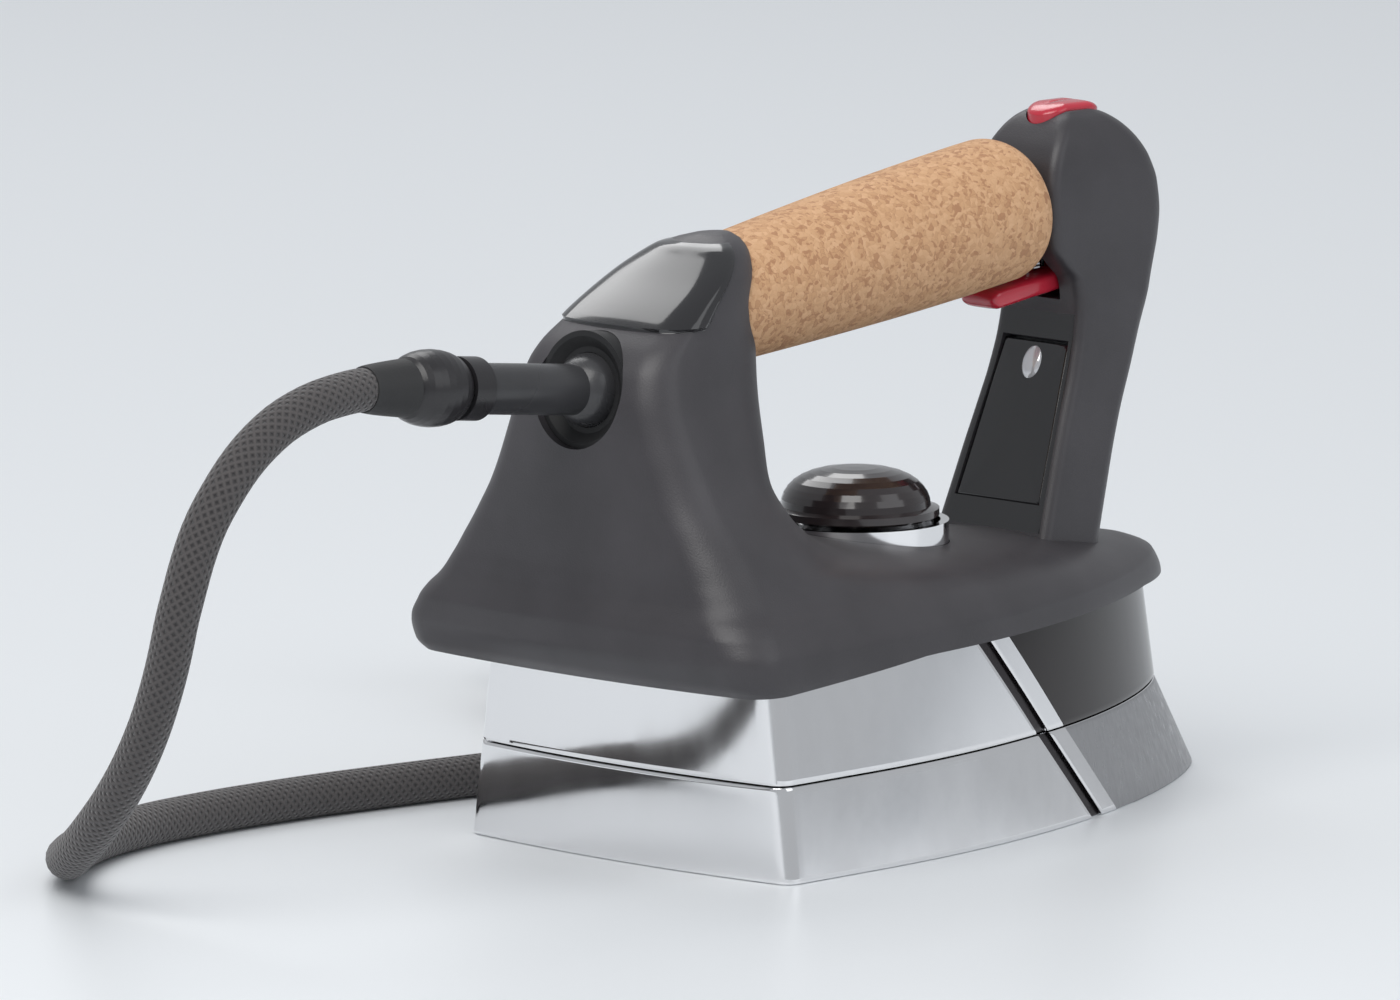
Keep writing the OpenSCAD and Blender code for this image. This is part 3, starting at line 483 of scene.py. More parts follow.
strap = finish("woven_strap", (0.020, 0.020, 0.022), 0.8)
weave = node(strap, "ShaderNodeTexCoord")
across = node(strap, "ShaderNodeTexWave", scale=620.0, wave_type="BANDS", bands_direction="X")
down = node(strap, "ShaderNodeTexWave", scale=620.0, wave_type="BANDS", bands_direction="Z")
for wave in (across, down):
    link(strap, weave.outputs["Object"], wave.inputs["Vector"])
crossed = combine(strap, "MAXIMUM", across.outputs["Fac"], down.outputs["Fac"])
relief(strap, crossed, 0.0003, 0.8)
# Raised threads are painted lighter than the hollows: painted highlight on the weave.
colours(strap, crossed, [(0.2, (0.012, 0.012, 0.013)), (1.0, (0.034, 0.034, 0.037))])

# %% [markdown]
# ### Finishes on the mechanical nodes
# A node whose shape is already right only needs its finish. The record gives each one a slot,
# and the slot names the finish; a few nodes get their own.

# %% Give every node its finish
SLOT_FINISH = {
    "polished_metal": chrome, "bright_metal": bright, "steel": steel, "housing_plastic": satin,
    "gloss_black": gloss, "red_plastic": red, "cork": cork, "white_plastic": white,
    "lens": glass, "insulation": board, "gasket_rubber": gasket, "black_rubber": rubber,
    "brass": brass, "pipe": tube_white, "hose_fabric": hose_cover, "strap": strap,
}
OWN_FINISH = {
    "dial": dial_gloss, "swivel_arm": stub_grey, "swivel_knob": knob_black,
    "swivel_collar": knob_black, "swivel_socket": recess_black, "hose_connector": knob_black,
    "chamber_cover": bright, "trigger_switch": rubber, "button_switch": rubber,
}
for part in frame["record"]["subparts"]:
    mesh = frame["nodes"][part["node"]].data
    mesh.materials.clear()
    mesh.materials.append(OWN_FINISH.get(part["node"], SLOT_FINISH[part["material_slot"]]))

# %% [markdown]
# ## The steam hose
# The hose carries steam and wires to the iron: an 11 mm braided tube, about 2.2 m long. It
# leaves the swivel knob, bends down behind the heel, lies along the table and ends in a coil of
# four turns beside the iron, with its connector on top. The line is one run of points, and
# rings are carried along it without twisting.

# %% Route of the hose
ROUTE = np.array([
    [-180, 0, 128.7], [-186, 0, 129.4], [-200, 0, 130.5], [-213, 0, 129.5], [-225, 1, 126],
    [-236, 2, 119.5], [-245, 3, 110.5], [-251, 5, 100], [-254.5, 7, 88], [-256, 10, 75],
    [-256, 14, 62], [-255.5, 20, 49], [-254, 29, 36], [-251, 41, 24], [-245, 55, 14.5],
    [-236, 69, 8.5], [-223, 82, 6], [-207, 92, 5.5], [-189, 99, 5.5], [-168, 103, 5.5],
    [-146, 104, 5.5], [-122, 103, 5.5], [-97, 100, 5.5], [-72, 96, 5.5], [-47, 91, 5.6],
    [-22, 86, 5.8], [3, 81, 6], [25, 77, 6.3], [48, 74, 6.6], [66, 72.5, 6.7], [84, 72, 6.7],
]) * MM
HOSE_D = 0.011
COIL_AT = np.array([0.084, 0.135])
COIL_R = (0.052, 0.063)
LAYERS = (0.0067, 0.0177)
TAIL_R, TAIL_Z, RISE_Z = 0.0575, 0.0272, 0.0354


def coil_line(angle):
    """Points of the coil and its tail at angles in degrees, counted on from the first touch.

    The radius goes 63, 52, 52, 63 mm over the four turns and the height one layer up after the
    second; each change is spread over 60 degrees. The tail slides in to 57.5 mm and climbs.
    """
    def step(start, width=60):
        return smooth((angle - start) / width)

    outer, inner = COIL_R[1], COIL_R[0]
    radius = outer + (inner - outer) * (step(270) - step(990)) + (TAIL_R - outer) * step(1365)
    height = (LAYERS[0] + (LAYERS[1] - LAYERS[0]) * step(630)
              + (TAIL_Z - LAYERS[1]) * step(1365) + (RISE_Z - TAIL_Z) * step(1470, 45))
    a = np.radians(angle)
    return np.stack([COIL_AT[0] + radius * np.cos(a), COIL_AT[1] + radius * np.sin(a), height], -1)


def resampled(line, spacing):
    """The same line as evenly spaced points on a smooth curve through its own points."""
    run = np.concatenate([[0], np.cumsum(np.linalg.norm(np.diff(line, axis=0), axis=1))])
    even = np.linspace(0, run[-1], int(run[-1] / spacing) + 1)
    return np.stack([through(even, run, line[:, k]) for k in range(3)], -1), even


def tube(line, radius, sides):
    """Rings round a line: centre + radius (cos a * n + sin a * b), n carried without twist."""
    tangent = np.gradient(line, axis=0)
    tangent /= np.linalg.norm(tangent, axis=1, keepdims=True)
    normal = np.zeros_like(line)
    carried = np.array([0.0, 1.0, 0.0])
    for i, t in enumerate(tangent):
        carried = carried - carried.dot(t) * t
        carried /= np.linalg.norm(carried)
        normal[i] = carried
    other = np.cross(tangent, normal)
    a = np.arange(sides) * 2 * np.pi / sides
    radius = np.broadcast_to(np.asarray(radius, float).reshape(-1, 1, 1), (len(line), 1, 1))
    return line[:, None] + radius * (
        np.cos(a)[None, :, None] * normal[:, None] + np.sin(a)[None, :, None] * other[:, None])


coil_start = -90.0
coil_turns = coil_line(np.arange(coil_start + 8, 1520.1, 8))
hose_line, hose_run = resampled(np.concatenate([ROUTE, coil_turns]), 0.0035)
hose = skin("hose_cover", tube(hose_line, HOSE_D / 2, 18), hose_cover, "root",
            ("steam_hose", "hose_coil", "hose_tail"), sharp=60, along=hose_run)
print("hose", round(float(hose_run[-1]), 3), "m in", len(hose_line), "rings")

# %% [markdown]
# A short tapered cuff keeps the hose from kinking where it leaves the knob.

# %% Cuff
cuff_line, cuff_run = resampled(ROUTE[1:3], 0.0005)
cuff_share = cuff_run / cuff_run[-1]
cuff_r = HOSE_D / 2 + 0.0003 + 0.0016 * (1 - cuff_share) ** 0.7
cuff = skin("hose_cuff", tube(cuff_line, cuff_r, 40), rubber, "root")

# %% [markdown]
# ## The outline seen from above
# The soleplate, the skirt and the housing share one kind of outline: a slightly bowed rear
# edge, a rounded corner, and a long side that draws in to the nose. Half the width follows
# w (1 - u^p)^q, where u runs from 0 at 15 % of the length to 1 at the nose. With q near 0.85
# the nose is a pointed arch, and with q near 0.5 it is as round as an ellipse.

# %% Outline functions
REAR_BOW = 4 * MM


def side_y(x, rear, front, half, power, blunt):
    """Half width at x: half * (1 - u^power)^blunt."""
    u = np.clip(((x - rear) / (front - rear) - 0.15) / 0.85, 0, 1)
    return half * (1 - u**power) ** blunt


def rear_and_corner(rear, half, corner, count=(18, 14)):
    """From the middle of the rear edge to the end of the corner, as x and y.

    Rear edge: x = rear - bow * (1 - (y / half)^2). Corner: a quarter circle.
    """
    k = np.linspace(0, 1, count[0])
    y1 = (half - corner) * k
    x1 = rear - REAR_BOW * (1 - (y1 / half) ** 2)
    a = np.radians(np.linspace(-90, 0, count[1] + 1)[1:])
    y2 = half - corner + corner * np.cos(a)
    x2 = rear + corner + corner * np.sin(a) - REAR_BOW * (1 - (y2 / half) ** 2) * (a < -0.01)
    return np.concatenate([x1, x2], -1), np.concatenate([y1, y2], -1)


def both_sides(x, y, z):
    """Closed loops from one side's x and y: the mirror side first, from the nose to the rear."""
    x, y, z = np.broadcast_arrays(x, y, z)
    mirror = np.stack([x[:, ::-1], -y[:, ::-1], z[:, ::-1]], -1)
    return np.concatenate([mirror, np.stack([x, y, z], -1)[:, 1:-1]], 1)


# %% [markdown]
# ## Soleplate and skirt
# The lower half of the iron is two polished tiers that meet at a fine seam: the casting with
# the sole, and a skirt above it. Both lean in as they rise, and a slanted groove crosses both
# sides; the groove's walls are painted shade in a near-black metal. The grid's columns slant
# with the groove, so its edges fall exactly on columns, which keeps a mirror finish clean.
# Ahead of the groove the casting is brushed, not polished, and its darker metal colour is a
# painted reflection.

# %% Tiers with the slanted groove
PLATE_H, PLATE_BACK, PLATE_NOSE, PLATE_HALF = 24.5 * MM, -106 * MM, 106 * MM, 57 * MM
SKIRT_LOW = 24.9 * MM
GROOVE_FOOT, GROOVE_SLOPE, GROOVE_D = 21 * MM, -49 / 54, 1 * MM
GROOVE_W = 4 * MM / math.cos(math.atan(GROOVE_SLOPE))
WINDOW = 14 * MM
SIDE_STEPS = np.array([-16, -12, -8, -5, -3, -1.5, -0.6, -0.1, 0.25, 0.7, 1.5, 2.7, 3.9, 4.7,
                       5.15, 5.5, 6, 6.9, 8.4, 10.4, 12.4, 14]) * MM


def groove_line(z):
    """x of the groove's rear edge at height z."""
    return GROOVE_FOOT + GROOVE_SLOPE * z


def groove_depth(ahead):
    """1 mm deep between the groove's edges, with edges rounded over 0.4 mm."""
    edge = 0.4 * MM
    inside = smooth((ahead + edge / 2) / edge) * smooth((GROOVE_W + edge / 2 - ahead) / edge)
    return GROOVE_D * inside


def tier_shape(z, inset):
    """Rear, front and half width at height z: the sides lean 3 mm and the nose 15 mm a tier."""
    k = z / PLATE_H
    rake = np.where(k < 1, 15 * k, 15 + 4.5 * (k - 1)) * MM
    return (PLATE_BACK + 0.4 * MM * k + inset, PLATE_NOSE - rake - 1.3 * inset,
            PLATE_HALF - 3 * MM * k - inset)


def tier_side(z, inset, start, stop, ahead_steps=64, grooved=True):
    """x and y of one side at heights z: "rear" to "window" for the skirt, "window" to "nose"
    for its dark front, and "rear" to "nose" for the casting."""
    z, inset = (np.asarray(v, float).reshape(-1, 1) for v in np.broadcast_arrays(z, inset))
    rear, front, half = tier_shape(z, inset)
    line = groove_line(z)
    parts = []
    if start == "rear":
        corner = np.maximum(4 * MM - inset, 0.4 * MM)
        x, y = (rows_of(v, len(z)) for v in rear_and_corner(rear, half, corner))
        parts.append((x, y))
        first = rear + corner
        t = np.linspace(0, 1, 42)[1:-1]
        x = first + t * (line + SIDE_STEPS[0] - first)
        parts.append((x, side_y(x, rear, front, half, 2.05, 0.85)))
        x = line + SIDE_STEPS
        y = side_y(x, rear, front, half, 2.05, 0.85)
        parts.append((x, y - (groove_depth(SIDE_STEPS) if grooved else 0)))
        begin = line + WINDOW
    else:
        begin = line + WINDOW + 0.2 * MM
        parts.append((begin, side_y(begin, rear, front, half, 2.05, 0.85)))
    if stop == "nose":
        t = 1 - (1 - np.linspace(0, 1, ahead_steps)[1:]) ** 2
        x = begin + t * (front - begin)
        parts.append((x, side_y(x, rear, front, half, 2.05, 0.85)))
    return (np.concatenate([rows_of(p[k], len(z)) for p in parts], 1) for k in (0, 1))


def rows_of(values, n):
    """The same values as n rows."""
    return np.broadcast_to(values, (n, values.shape[-1]))


# %% [markdown]
# The casting is one closed stack of loops. Its sole edge is rounded over 0.8 mm and its top
# edge over 0.4 mm, and small blind holes for the steam are bored up into the sole.

# %% Soleplate
turn = np.radians(np.linspace(0, 90, 5))
plate_z = np.concatenate([0.8 * (1 - np.sin(turn[::-1])), np.linspace(1.6, 23.4, 24),
                          24.5 - 0.5 * (1 - np.sin(turn[:-1] + turn[1]))]) * MM
plate_z = np.clip(np.sort(np.unique(np.round(plate_z, 7))), 0, PLATE_H)
low_round = 0.8 * MM * (1 - np.sqrt(1 - (1 - np.clip(plate_z / (0.8 * MM), 0, 1)) ** 2))
rim = np.clip(1 - (PLATE_H - plate_z) / (0.4 * MM), 0, 1)
high_round = 0.4 * MM * (1 - np.sqrt(1 - rim**2))
plate_x, plate_y = tier_side(plate_z, low_round + high_round, "rear", "nose")
plate_rings = both_sides(plate_x, plate_y, plate_z[:, None])
soleplate = skin("polished_soleplate", plate_rings, chrome, "root",
                 ("soleplate",), sharp=30)
holes = [(x, 0) for x in (28, 41, 54)] + [(x, y) for x in range(-52, 5, 14) for y in (-9, 0, 9)]
cut(soleplate, [
    prism(circle(1.3 * MM, 24) + np.array([x, y]) * MM, upright, -1 * MM, 3 * MM)
    for x, y in holes
], sharp=30)


def face_table(thing):
    """Centres and normals of a piece's faces, each as an array of shape (faces, 3)."""
    faces = thing.data.polygons
    centre, normal = np.zeros(len(faces) * 3), np.zeros(len(faces) * 3)
    faces.foreach_get("center", centre)
    faces.foreach_get("normal", normal)
    return centre.reshape(-1, 3), normal.reshape(-1, 3)


def finish_faces(thing, extra, index):
    """Adds finishes to a piece and gives each face the finish of its index."""
    for each in extra:
        thing.data.materials.append(each)
    thing.data.polygons.foreach_set("material_index", index.astype(np.int32))
    print(thing.name, np.bincount(index), "faces by finish")


def finish_walls(thing, finishes):
    """Gives the upright faces their second and third finish: painted shade in the groove, and
    ahead of it the brushed metal whose darker colour is a painted reflection.
    """
    centre, normal = face_table(thing)
    ahead = centre[:, 0] - groove_line(centre[:, 2])
    walls = (np.abs(normal[:, 2]) < 0.7) & (np.abs(centre[:, 1]) > 20 * MM)
    index = np.where(walls & (ahead > 0) & (ahead < GROOVE_W), 1, 0)
    if len(finishes) > 1:
        index = np.where((np.abs(normal[:, 2]) < 0.7) & (ahead > WINDOW), 2, index)
    finish_faces(thing, finishes, index)


# The soleplate's groove walls get painted shade, and its nose walls the darker metal of a painted
# reflection.
finish_walls(soleplate, [groove_painted_shade, nose_brushed_painted_reflection])

# %% [markdown]
# The skirt is a wall 2 mm thick that stops at the slanted line. Each column of the grid is a
# closed loop up the outside and down the inside, and the loops are carried from one cut round
# the rear to the other. The dark front cover is made the same way, round the nose.

# %% Skirt and nose cover
wall_z = np.concatenate([[0, 0.25, 0.6], np.linspace(1.4, 29.6, 26), [30.5]]) * MM + SKIRT_LOW
edge_round = 0.3 * MM * (1 - smooth((wall_z - SKIRT_LOW) / (0.6 * MM)))


def walled(start, stop, grooved):
    """Columns of loops for a 2 mm wall: outside upwards, then inside downwards."""
    outer = np.stack(list(tier_side(wall_z, edge_round, start, stop, grooved=grooved)), -1)
    inner = np.stack(list(tier_side(wall_z[::3], 2 * MM, start, stop, grooved=False)), -1)[::-1]
    heights = np.concatenate([wall_z, wall_z[::3][::-1]])
    loops = np.concatenate([outer, inner]).transpose(1, 0, 2)
    return np.concatenate([loops, np.broadcast_to(heights[:, None], loops.shape[:2] + (1,))], -1)


rear_half = walled("rear", "window", True)
mirrored = rear_half[::-1] * [1, -1, 1]
skirt = skin("polished_skirt", np.concatenate([mirrored[:-1], rear_half]), chrome, "root",
             ("skirt",), sharp=30)
# The skirt's groove walls get the painted shade.
finish_walls(skirt, [groove_painted_shade])
nose_half = walled("window", "nose", False)
mirrored = nose_half[::-1] * [1, -1, 1]
skin("nose_cover_gloss", np.concatenate([nose_half, mirrored[1:]]), window, "root",
     ("nose_cover",), sharp=30)

# %% [markdown]
# ## The housing
# Deck and heel are one moulding. It is described by rings, from the underside to the top of
# the heel; each ring gives the height, where the outline starts and ends, its half width, the
# two shape powers and the corner radius. Between the rings every number is interpolated
# smoothly, so the deck flows up into the heel. The lowest rows bend to follow the underside's
# edge, and the same rings, drawn in by the wall, make the inside.

# %% Housing rings
HOUSING = np.array([
    [40, -116, 90, 59.5, 2.05, 0.85, 8], [47, -118, 92.5, 62, 2.05, 0.85, 9],
    [52.5, -123.5, 92.5, 63.5, 2.05, 0.82, 10], [59, -126, 89, 63, 2.05, 0.8, 11],
    [63.5, -126, 78, 61, 2.05, 0.76, 12], [67, -125, 59, 58.5, 2.1, 0.72, 12],
    [69.5, -124, 38, 56, 2.2, 0.7, 12], [71.5, -123.3, 14, 54.5, 2.3, 0.68, 12],
    [74.5, -122.8, -20, 52.5, 2.4, 0.66, 12], [77.5, -122.4, -46, 50.5, 2.5, 0.62, 12],
    [82, -122.2, -58, 47.5, 2.5, 0.6, 12], [88, -122, -64.5, 43, 2.4, 0.57, 11],
    [96, -122, -67.5, 37.5, 2.2, 0.56, 10], [106, -122, -66, 32.5, 2.1, 0.56, 9],
    [117, -121.8, -65.5, 28, 2.1, 0.56, 8], [127, -119.5, -65, 25, 2.1, 0.56, 7],
    [132, -116, -64.5, 23.5, 2.1, 0.55, 6.5], [137, -109.6, -64.5, 21.8, 2.1, 0.54, 6],
    [142, -102.5, -64.5, 20, 2.1, 0.52, 5], [148, -93, -65, 17.5, 2.1, 0.5, 4],
    [153, -85.5, -66, 13.5, 2.1, 0.5, 3.5], [156, -81, -67.5, 9, 2.1, 0.5, 2.5],
    [157.5, -77, -70, 4, 2, 0.5, 1],
])
EDGE_X, EDGE_Z = [-140, -118, -60, 60, 100], [48.5, 49.5, 54.2, 54.2, 52.2]


def ring_at(z, inset=0.0):
    """Outline numbers at height z in millimetres, drawn in by inset."""
    rear, front, half, power, blunt, corner = (
        through(z, HOUSING[:, 0], HOUSING[:, k]) for k in range(1, 7))
    return (rear + inset, front - inset, np.maximum(half - inset, 0.6), power, blunt,
            np.maximum(corner - inset / 2, 0.3))


def heel_corner(rear, corner, a, bow):
    """x round the rear corner: a quarter circle whose start still follows the bowed edge."""
    return (rear + corner + corner * np.sin(a)
            - bow * np.cos(a / 2 + np.pi / 4) ** 0.5 * (a < -0.01))


def housing_rows(levels, inset=0.0, side_steps=70):
    """Points of the housing's surface at rows of heights, in millimetres.

    Below 60 mm a row's height is bent towards the underside's edge: z = edge(x) +
    (level - 40) / 20 * (60 - edge(x)). The outline depends on z and the edge on x, so three
    rounds settle both.
    """
    levels = np.asarray(levels, float)[:, None]
    t = 1 - (1 - np.linspace(0, 1, side_steps)[1:]) ** 1.9
    z = levels
    for _ in range(3):
        rear, front, half, power, blunt, corner = (
            np.broadcast_to(v, (len(levels), 31 + side_steps)) for v in ring_at(z, inset))
        k = np.linspace(0, 1, 18)
        y1 = (half - corner)[:, :18] * k
        a = np.radians(np.linspace(-90, 0, 15)[1:])
        y2 = (half - corner)[:, 18:32] + corner[:, 18:32] * np.cos(a)
        y = np.concatenate([y1, y2], 1)
        bow = 4 * (1 - (y / half[:, :32]) ** 2)
        x1 = rear[:, :18] - bow[:, :18]
        x2 = heel_corner(rear[:, 18:32], corner[:, 18:32], a, bow[:, 18:])
        start = (rear + corner)[:, 32:]
        x3 = start + t * (front[:, 32:] - start)
        y3 = side_y(x3, rear[:, 32:], front[:, 32:], half[:, 32:], power[:, 32:], blunt[:, 32:])
        x = np.concatenate([x1, x2, x3], 1)
        y = np.concatenate([y, y3], 1)
        edge = np.interp(x, EDGE_X, EDGE_Z)
        bent = edge + (levels - 40) / 20 * (60 - edge)
        z = np.where(levels < 60, bent, np.broadcast_to(levels, x.shape))
    return both_sides(x * MM, y * MM, z * MM)


climb = np.hypot(np.diff(HOUSING[:, 0]), 0.45 * np.diff(HOUSING[:, 2]))
path = np.concatenate([[0], np.cumsum(climb)])
outer_levels = np.interp(np.linspace(0, path[-1], 120), path, HOUSING[:, 0])
outer_levels = np.unique(np.concatenate([outer_levels, [40.6, 41.5, 43, 157, 157.3]]))
inner_levels = np.array([40, 44, 48, 52, 56, 59, 62, 65, 68, 72, 77, 84, 92, 102, 112, 122, 132,
                         140, 147, 151])
outer_rows = housing_rows(outer_levels)
inner_rows = housing_rows(inner_levels, inset=2.6)
inner_rows[:, :, 2] -= np.where(inner_levels > 60, 2.6, 0)[:, None] * MM
housing = skin("charcoal_housing", np.concatenate([inner_rows[::-1], outer_rows]), satin, "root",
               ("housing",), sharp=50)

# %% [markdown]
# Three openings are cut through the moulding: the pocket that the grip's end sits in, the round
# opening at the rear for the hose swivel, and the well of the dial.

# %% Openings in the housing
pocket_r, opening_r, well_r = 17.1 * MM, 15.1 * MM, 24.2 * MM
DIAL_AT = np.array([-22, 0]) * MM
cut(housing, [
    prism(circle(pocket_r), beside_handle, -0.2 * MM, 30 * MM),
    prism(circle(opening_r), lambda p: on_stub(*p.T), -15 * MM, 60 * MM),
    prism(circle(well_r) + DIAL_AT, upright, 60 * MM, 100 * MM),
])

# %% [markdown]
# The glossy panel is a thin skin that lies on the rear shoulder of the heel, above the swivel.
# It is the housing's own surface, moved out by 1.2 mm, with its border rolled down.

# %% Heel panel
panel_levels = np.concatenate([[137, 137.15, 137.5, 138], np.linspace(139, 155, 30),
                               [155.5, 155.85, 156]])
lift = 1.2 * smooth((panel_levels - 137) / 1.2) * smooth((156 - panel_levels) / 0.8) + 0.05


def panel_rows(levels, inset):
    """Rear and corner of each ring, from one side round to the other, with its own inset."""
    rear, front, half, power, blunt, corner = (v[:, None] for v in ring_at(levels, inset))
    k = np.linspace(0, 1, 18)
    y1 = (half - corner) * k
    a = np.radians(np.linspace(-90, 0, 15)[1:])
    y2 = half - corner + corner * np.cos(a)
    y = np.concatenate([y1, y2], 1)
    bow = 4 * (1 - (y / half) ** 2)
    x = np.concatenate([rear - bow[:, :18], heel_corner(rear, corner, a, bow[:, 18:])], 1)
    s = np.linspace(0, 1, 8)[1:]
    x3 = rear + corner + s * (0.2305 * (front - rear) - corner).clip(0.5)
    y3 = side_y(x3, rear, front, half, power, blunt)
    x, y = np.concatenate([x, x3], 1), np.concatenate([y, y3], 1)
    z = np.broadcast_to(levels[:, None], x.shape)
    one = np.stack([x, y, z], -1)
    return np.concatenate([one[:, ::-1] * [1, -1, 1], one[:, 1:]], 1) * MM


columns = 2 * 39 - 1
from_end = np.minimum(np.arange(columns), np.arange(columns)[::-1])
panel_out = panel_rows(panel_levels, -lift)
panel_in = panel_rows(panel_levels, np.zeros(len(panel_levels)) + 0.3)
roll = smooth(from_end / 3)[None, :, None]
panel_out = panel_in + (panel_out - panel_in) * (0.3 + 0.7 * roll)
panel_rings = np.concatenate([panel_out, panel_in[::-1]]).transpose(1, 0, 2)
skin("heel_panel_gloss", panel_rings, gloss, "root", ("heel_panel",))

# %% [markdown]
# ## The cork grip
# The grip is turned: one profile, spun round the handle's axis. It starts at 16 mm, swells to
# 19 mm near the front and is rounded over at its end. A flat-bottomed notch underneath lets
# the trigger rise.

# %% Grip
GRIP_L, GRIP_R, GRIP_SWELL = 116, 16, 3
SWELL_L, END_L, END_R, EASE = 102, 9, 7, 0.8
NOTCH_S, NOTCH_Y, NOTCH_N = 94.5, 7.6, -14
t = np.linspace(0, 1, 90)
end_turn = np.radians(np.linspace(8, 90, 16))
grip_s = np.concatenate([[0, 0.1, 0.4, EASE], EASE + SWELL_L * t[1:],
                         GRIP_L - END_L + END_L * np.sin(end_turn)])
swell = GRIP_R + GRIP_SWELL * np.sin(np.radians(90 * np.clip((grip_s - EASE) / SWELL_L, 0, 1)))
end_angle = np.arcsin(np.clip((grip_s - (GRIP_L - END_L)) / END_L, 0, 1))
rounded = GRIP_R + GRIP_SWELL - END_R * (1 - np.cos(end_angle))
grip_r = np.where(grip_s > GRIP_L - END_L, rounded, swell)
grip_r = grip_r - 0.6 * (1 - smooth(grip_s / EASE))
a = np.arange(144) * 2 * np.pi / 144
grip_y = grip_r[:, None] * np.sin(a)
grip_n = grip_r[:, None] * np.cos(a)
notch = (grip_s[:, None] > NOTCH_S) & (np.abs(grip_y) < NOTCH_Y) & (grip_n < NOTCH_N)
grip_n = np.where(notch, NOTCH_N, grip_n)
skin("cork_grip_turned", on_handle(grip_s[:, None] * MM, grip_y * MM, grip_n * MM), cork, "root",
     ("cork_grip",))

# %% [markdown]
# ## The front pillar
# The pillar leans forward as it climbs and bulges round the front of the grip. It too is a
# stack of rings: a flat rear with small corners and a front with large ones. Slots are cut for
# the glossy cover, the trigger and the steam button, and a flat seat for the end of the grip.

# %% Pillar
PILLAR = np.array([
    [64, 26.5, 51.5, 20.2, 6], [71.5, 29, 54, 19.5, 6], [80, 32, 57, 18.6, 6],
    [90, 35.6, 60.5, 17.6, 6], [100, 39.4, 64.5, 16.6, 6], [110, 43.2, 69, 15.8, 6],
    [120, 46, 73, 15.2, 6], [128, 47, 76.5, 14.8, 6], [134, 46, 78.5, 14.6, 6.5],
    [138, 42, 80, 14.5, 7], [143, 38, 81.5, 14.5, 7.5], [150, 37, 82.5, 14.5, 8],
    [157, 37, 82, 14.3, 8.5], [163, 38, 80, 13.8, 9], [168, 40, 76.5, 13, 9],
    [172, 43, 72, 11.6, 8], [175, 46, 67, 9.6, 6.5], [177, 49, 62, 7, 4.5],
])
PILLAR_TOP = 177.0


def pillar_rows(levels):
    """Rings of the pillar: rear corners of 3 mm, front corners of the ring's own radius."""
    rear, front, half, round_r = (through(levels, PILLAR[:, 0], PILLAR[:, k])[:, None]
                                  for k in range(1, 5))
    c = 3.0
    y1 = np.linspace(0, 1, 10) * (half - c)
    x1 = rear + 0 * y1
    a = np.radians(np.linspace(180, 90, 9))[1:]
    x2, y2 = rear + c + c * np.cos(a), half - c + c * np.sin(a)
    t = np.linspace(0, 1, 12)[1:-1]
    x3 = rear + c + t * (front - round_r - rear - c)
    y3 = half - 0.6 * t
    a = np.radians(np.linspace(90, 0, 14))
    x4, y4 = front - round_r + round_r * np.cos(a), half - 0.6 - round_r + round_r * np.sin(a)
    t = np.linspace(1, 0, 10)[1:]
    y5 = t * (half - 0.6 - round_r)
    x5 = front + 0.4 * (1 - t**2)
    x, y = np.concatenate([x1, x2, x3, x4, x5], 1), np.concatenate([y1, y2, y3, y4, y5], 1)
    return both_sides(x * MM, y * MM, np.broadcast_to(levels[:, None], x.shape) * MM)


pillar_levels = np.concatenate([np.linspace(64, 168, 100), np.linspace(168.5, PILLAR_TOP, 24)])
pillar_rings = pillar_rows(pillar_levels)
middle = pillar_rings[-1].mean(0)
closing = np.array([0.96, 0.86, 0.6, 0.3])[:, None, None]
dome = middle + (pillar_rings[-1] - middle) * closing
dome[:, :, 2] += (0.5 * (1 - closing[:, :, 0] ** 2)) * MM
pillar = skin("charcoal_pillar", np.concatenate([pillar_rings, dome]), satin, "root",
              ("front_pillar",), sharp=45)

COVER = np.array([[-15, 6], [15, 6], [11.5, 49.5], [-11.5, 49.5]]) * MM
BUTTON_X, BUTTON_TOP, LENS_UP = 55.5, 179.2, 43


def stadium(length, width, n=24):
    """Outline of a slot: two half circles of the slot's width joined by straight sides."""
    a = np.radians(np.linspace(-90, 90, n))
    r, half = width / 2, (length - width) / 2
    right = np.stack([half + r * np.cos(a), r * np.sin(a)], -1)
    return np.concatenate([right, -right])


trigger_slot = np.array([[-7.3, -26.5], [7.3, -26.5], [7.3, -14.5], [-7.3, -14.5]]) * MM
grip_seat = np.array([[-40, -18], [40, -18], [40, 16], [-40, 16]]) * MM
cut(pillar, [
    prism(COVER, lambda p: on_pillar(p[:, 2], p[:, 0], p[:, 1]), -5 * MM, 2.2 * MM),
    prism(grip_seat, beside_handle, 76 * MM, 116.2 * MM),
    prism(trigger_slot, beside_handle, 76 * MM, 136 * MM),
    prism((stadium(21.7, 12.7) + np.array([BUTTON_X, 0])) * MM, upright,
          (BUTTON_TOP - 12) * MM, 200 * MM),
])

# The flat rear face below the trigger is as dark and glossy as its cover
centre, normal = face_table(pillar)
backwards = normal @ [-math.cos(PILLAR_LEAN), 0, math.sin(PILLAR_LEAN)]
height = centre[:, 2]
dark_face = (backwards > 0.97) & (height > 70 * MM) & (height < 128 * MM)
finish_faces(pillar, [gloss], np.where(dark_face, 1, 0))

# %% [markdown]
# ## Cover, lens, trigger and steam button
# The cover in the pillar's rear face is a glossy plate with eased edges. The lens is an oval
# dome. The trigger is a flat lozenge with rounded edges, and the steam button a stadium whose
# top is crowned to continue the pillar's curve. Super-ellipses give their soft corners.

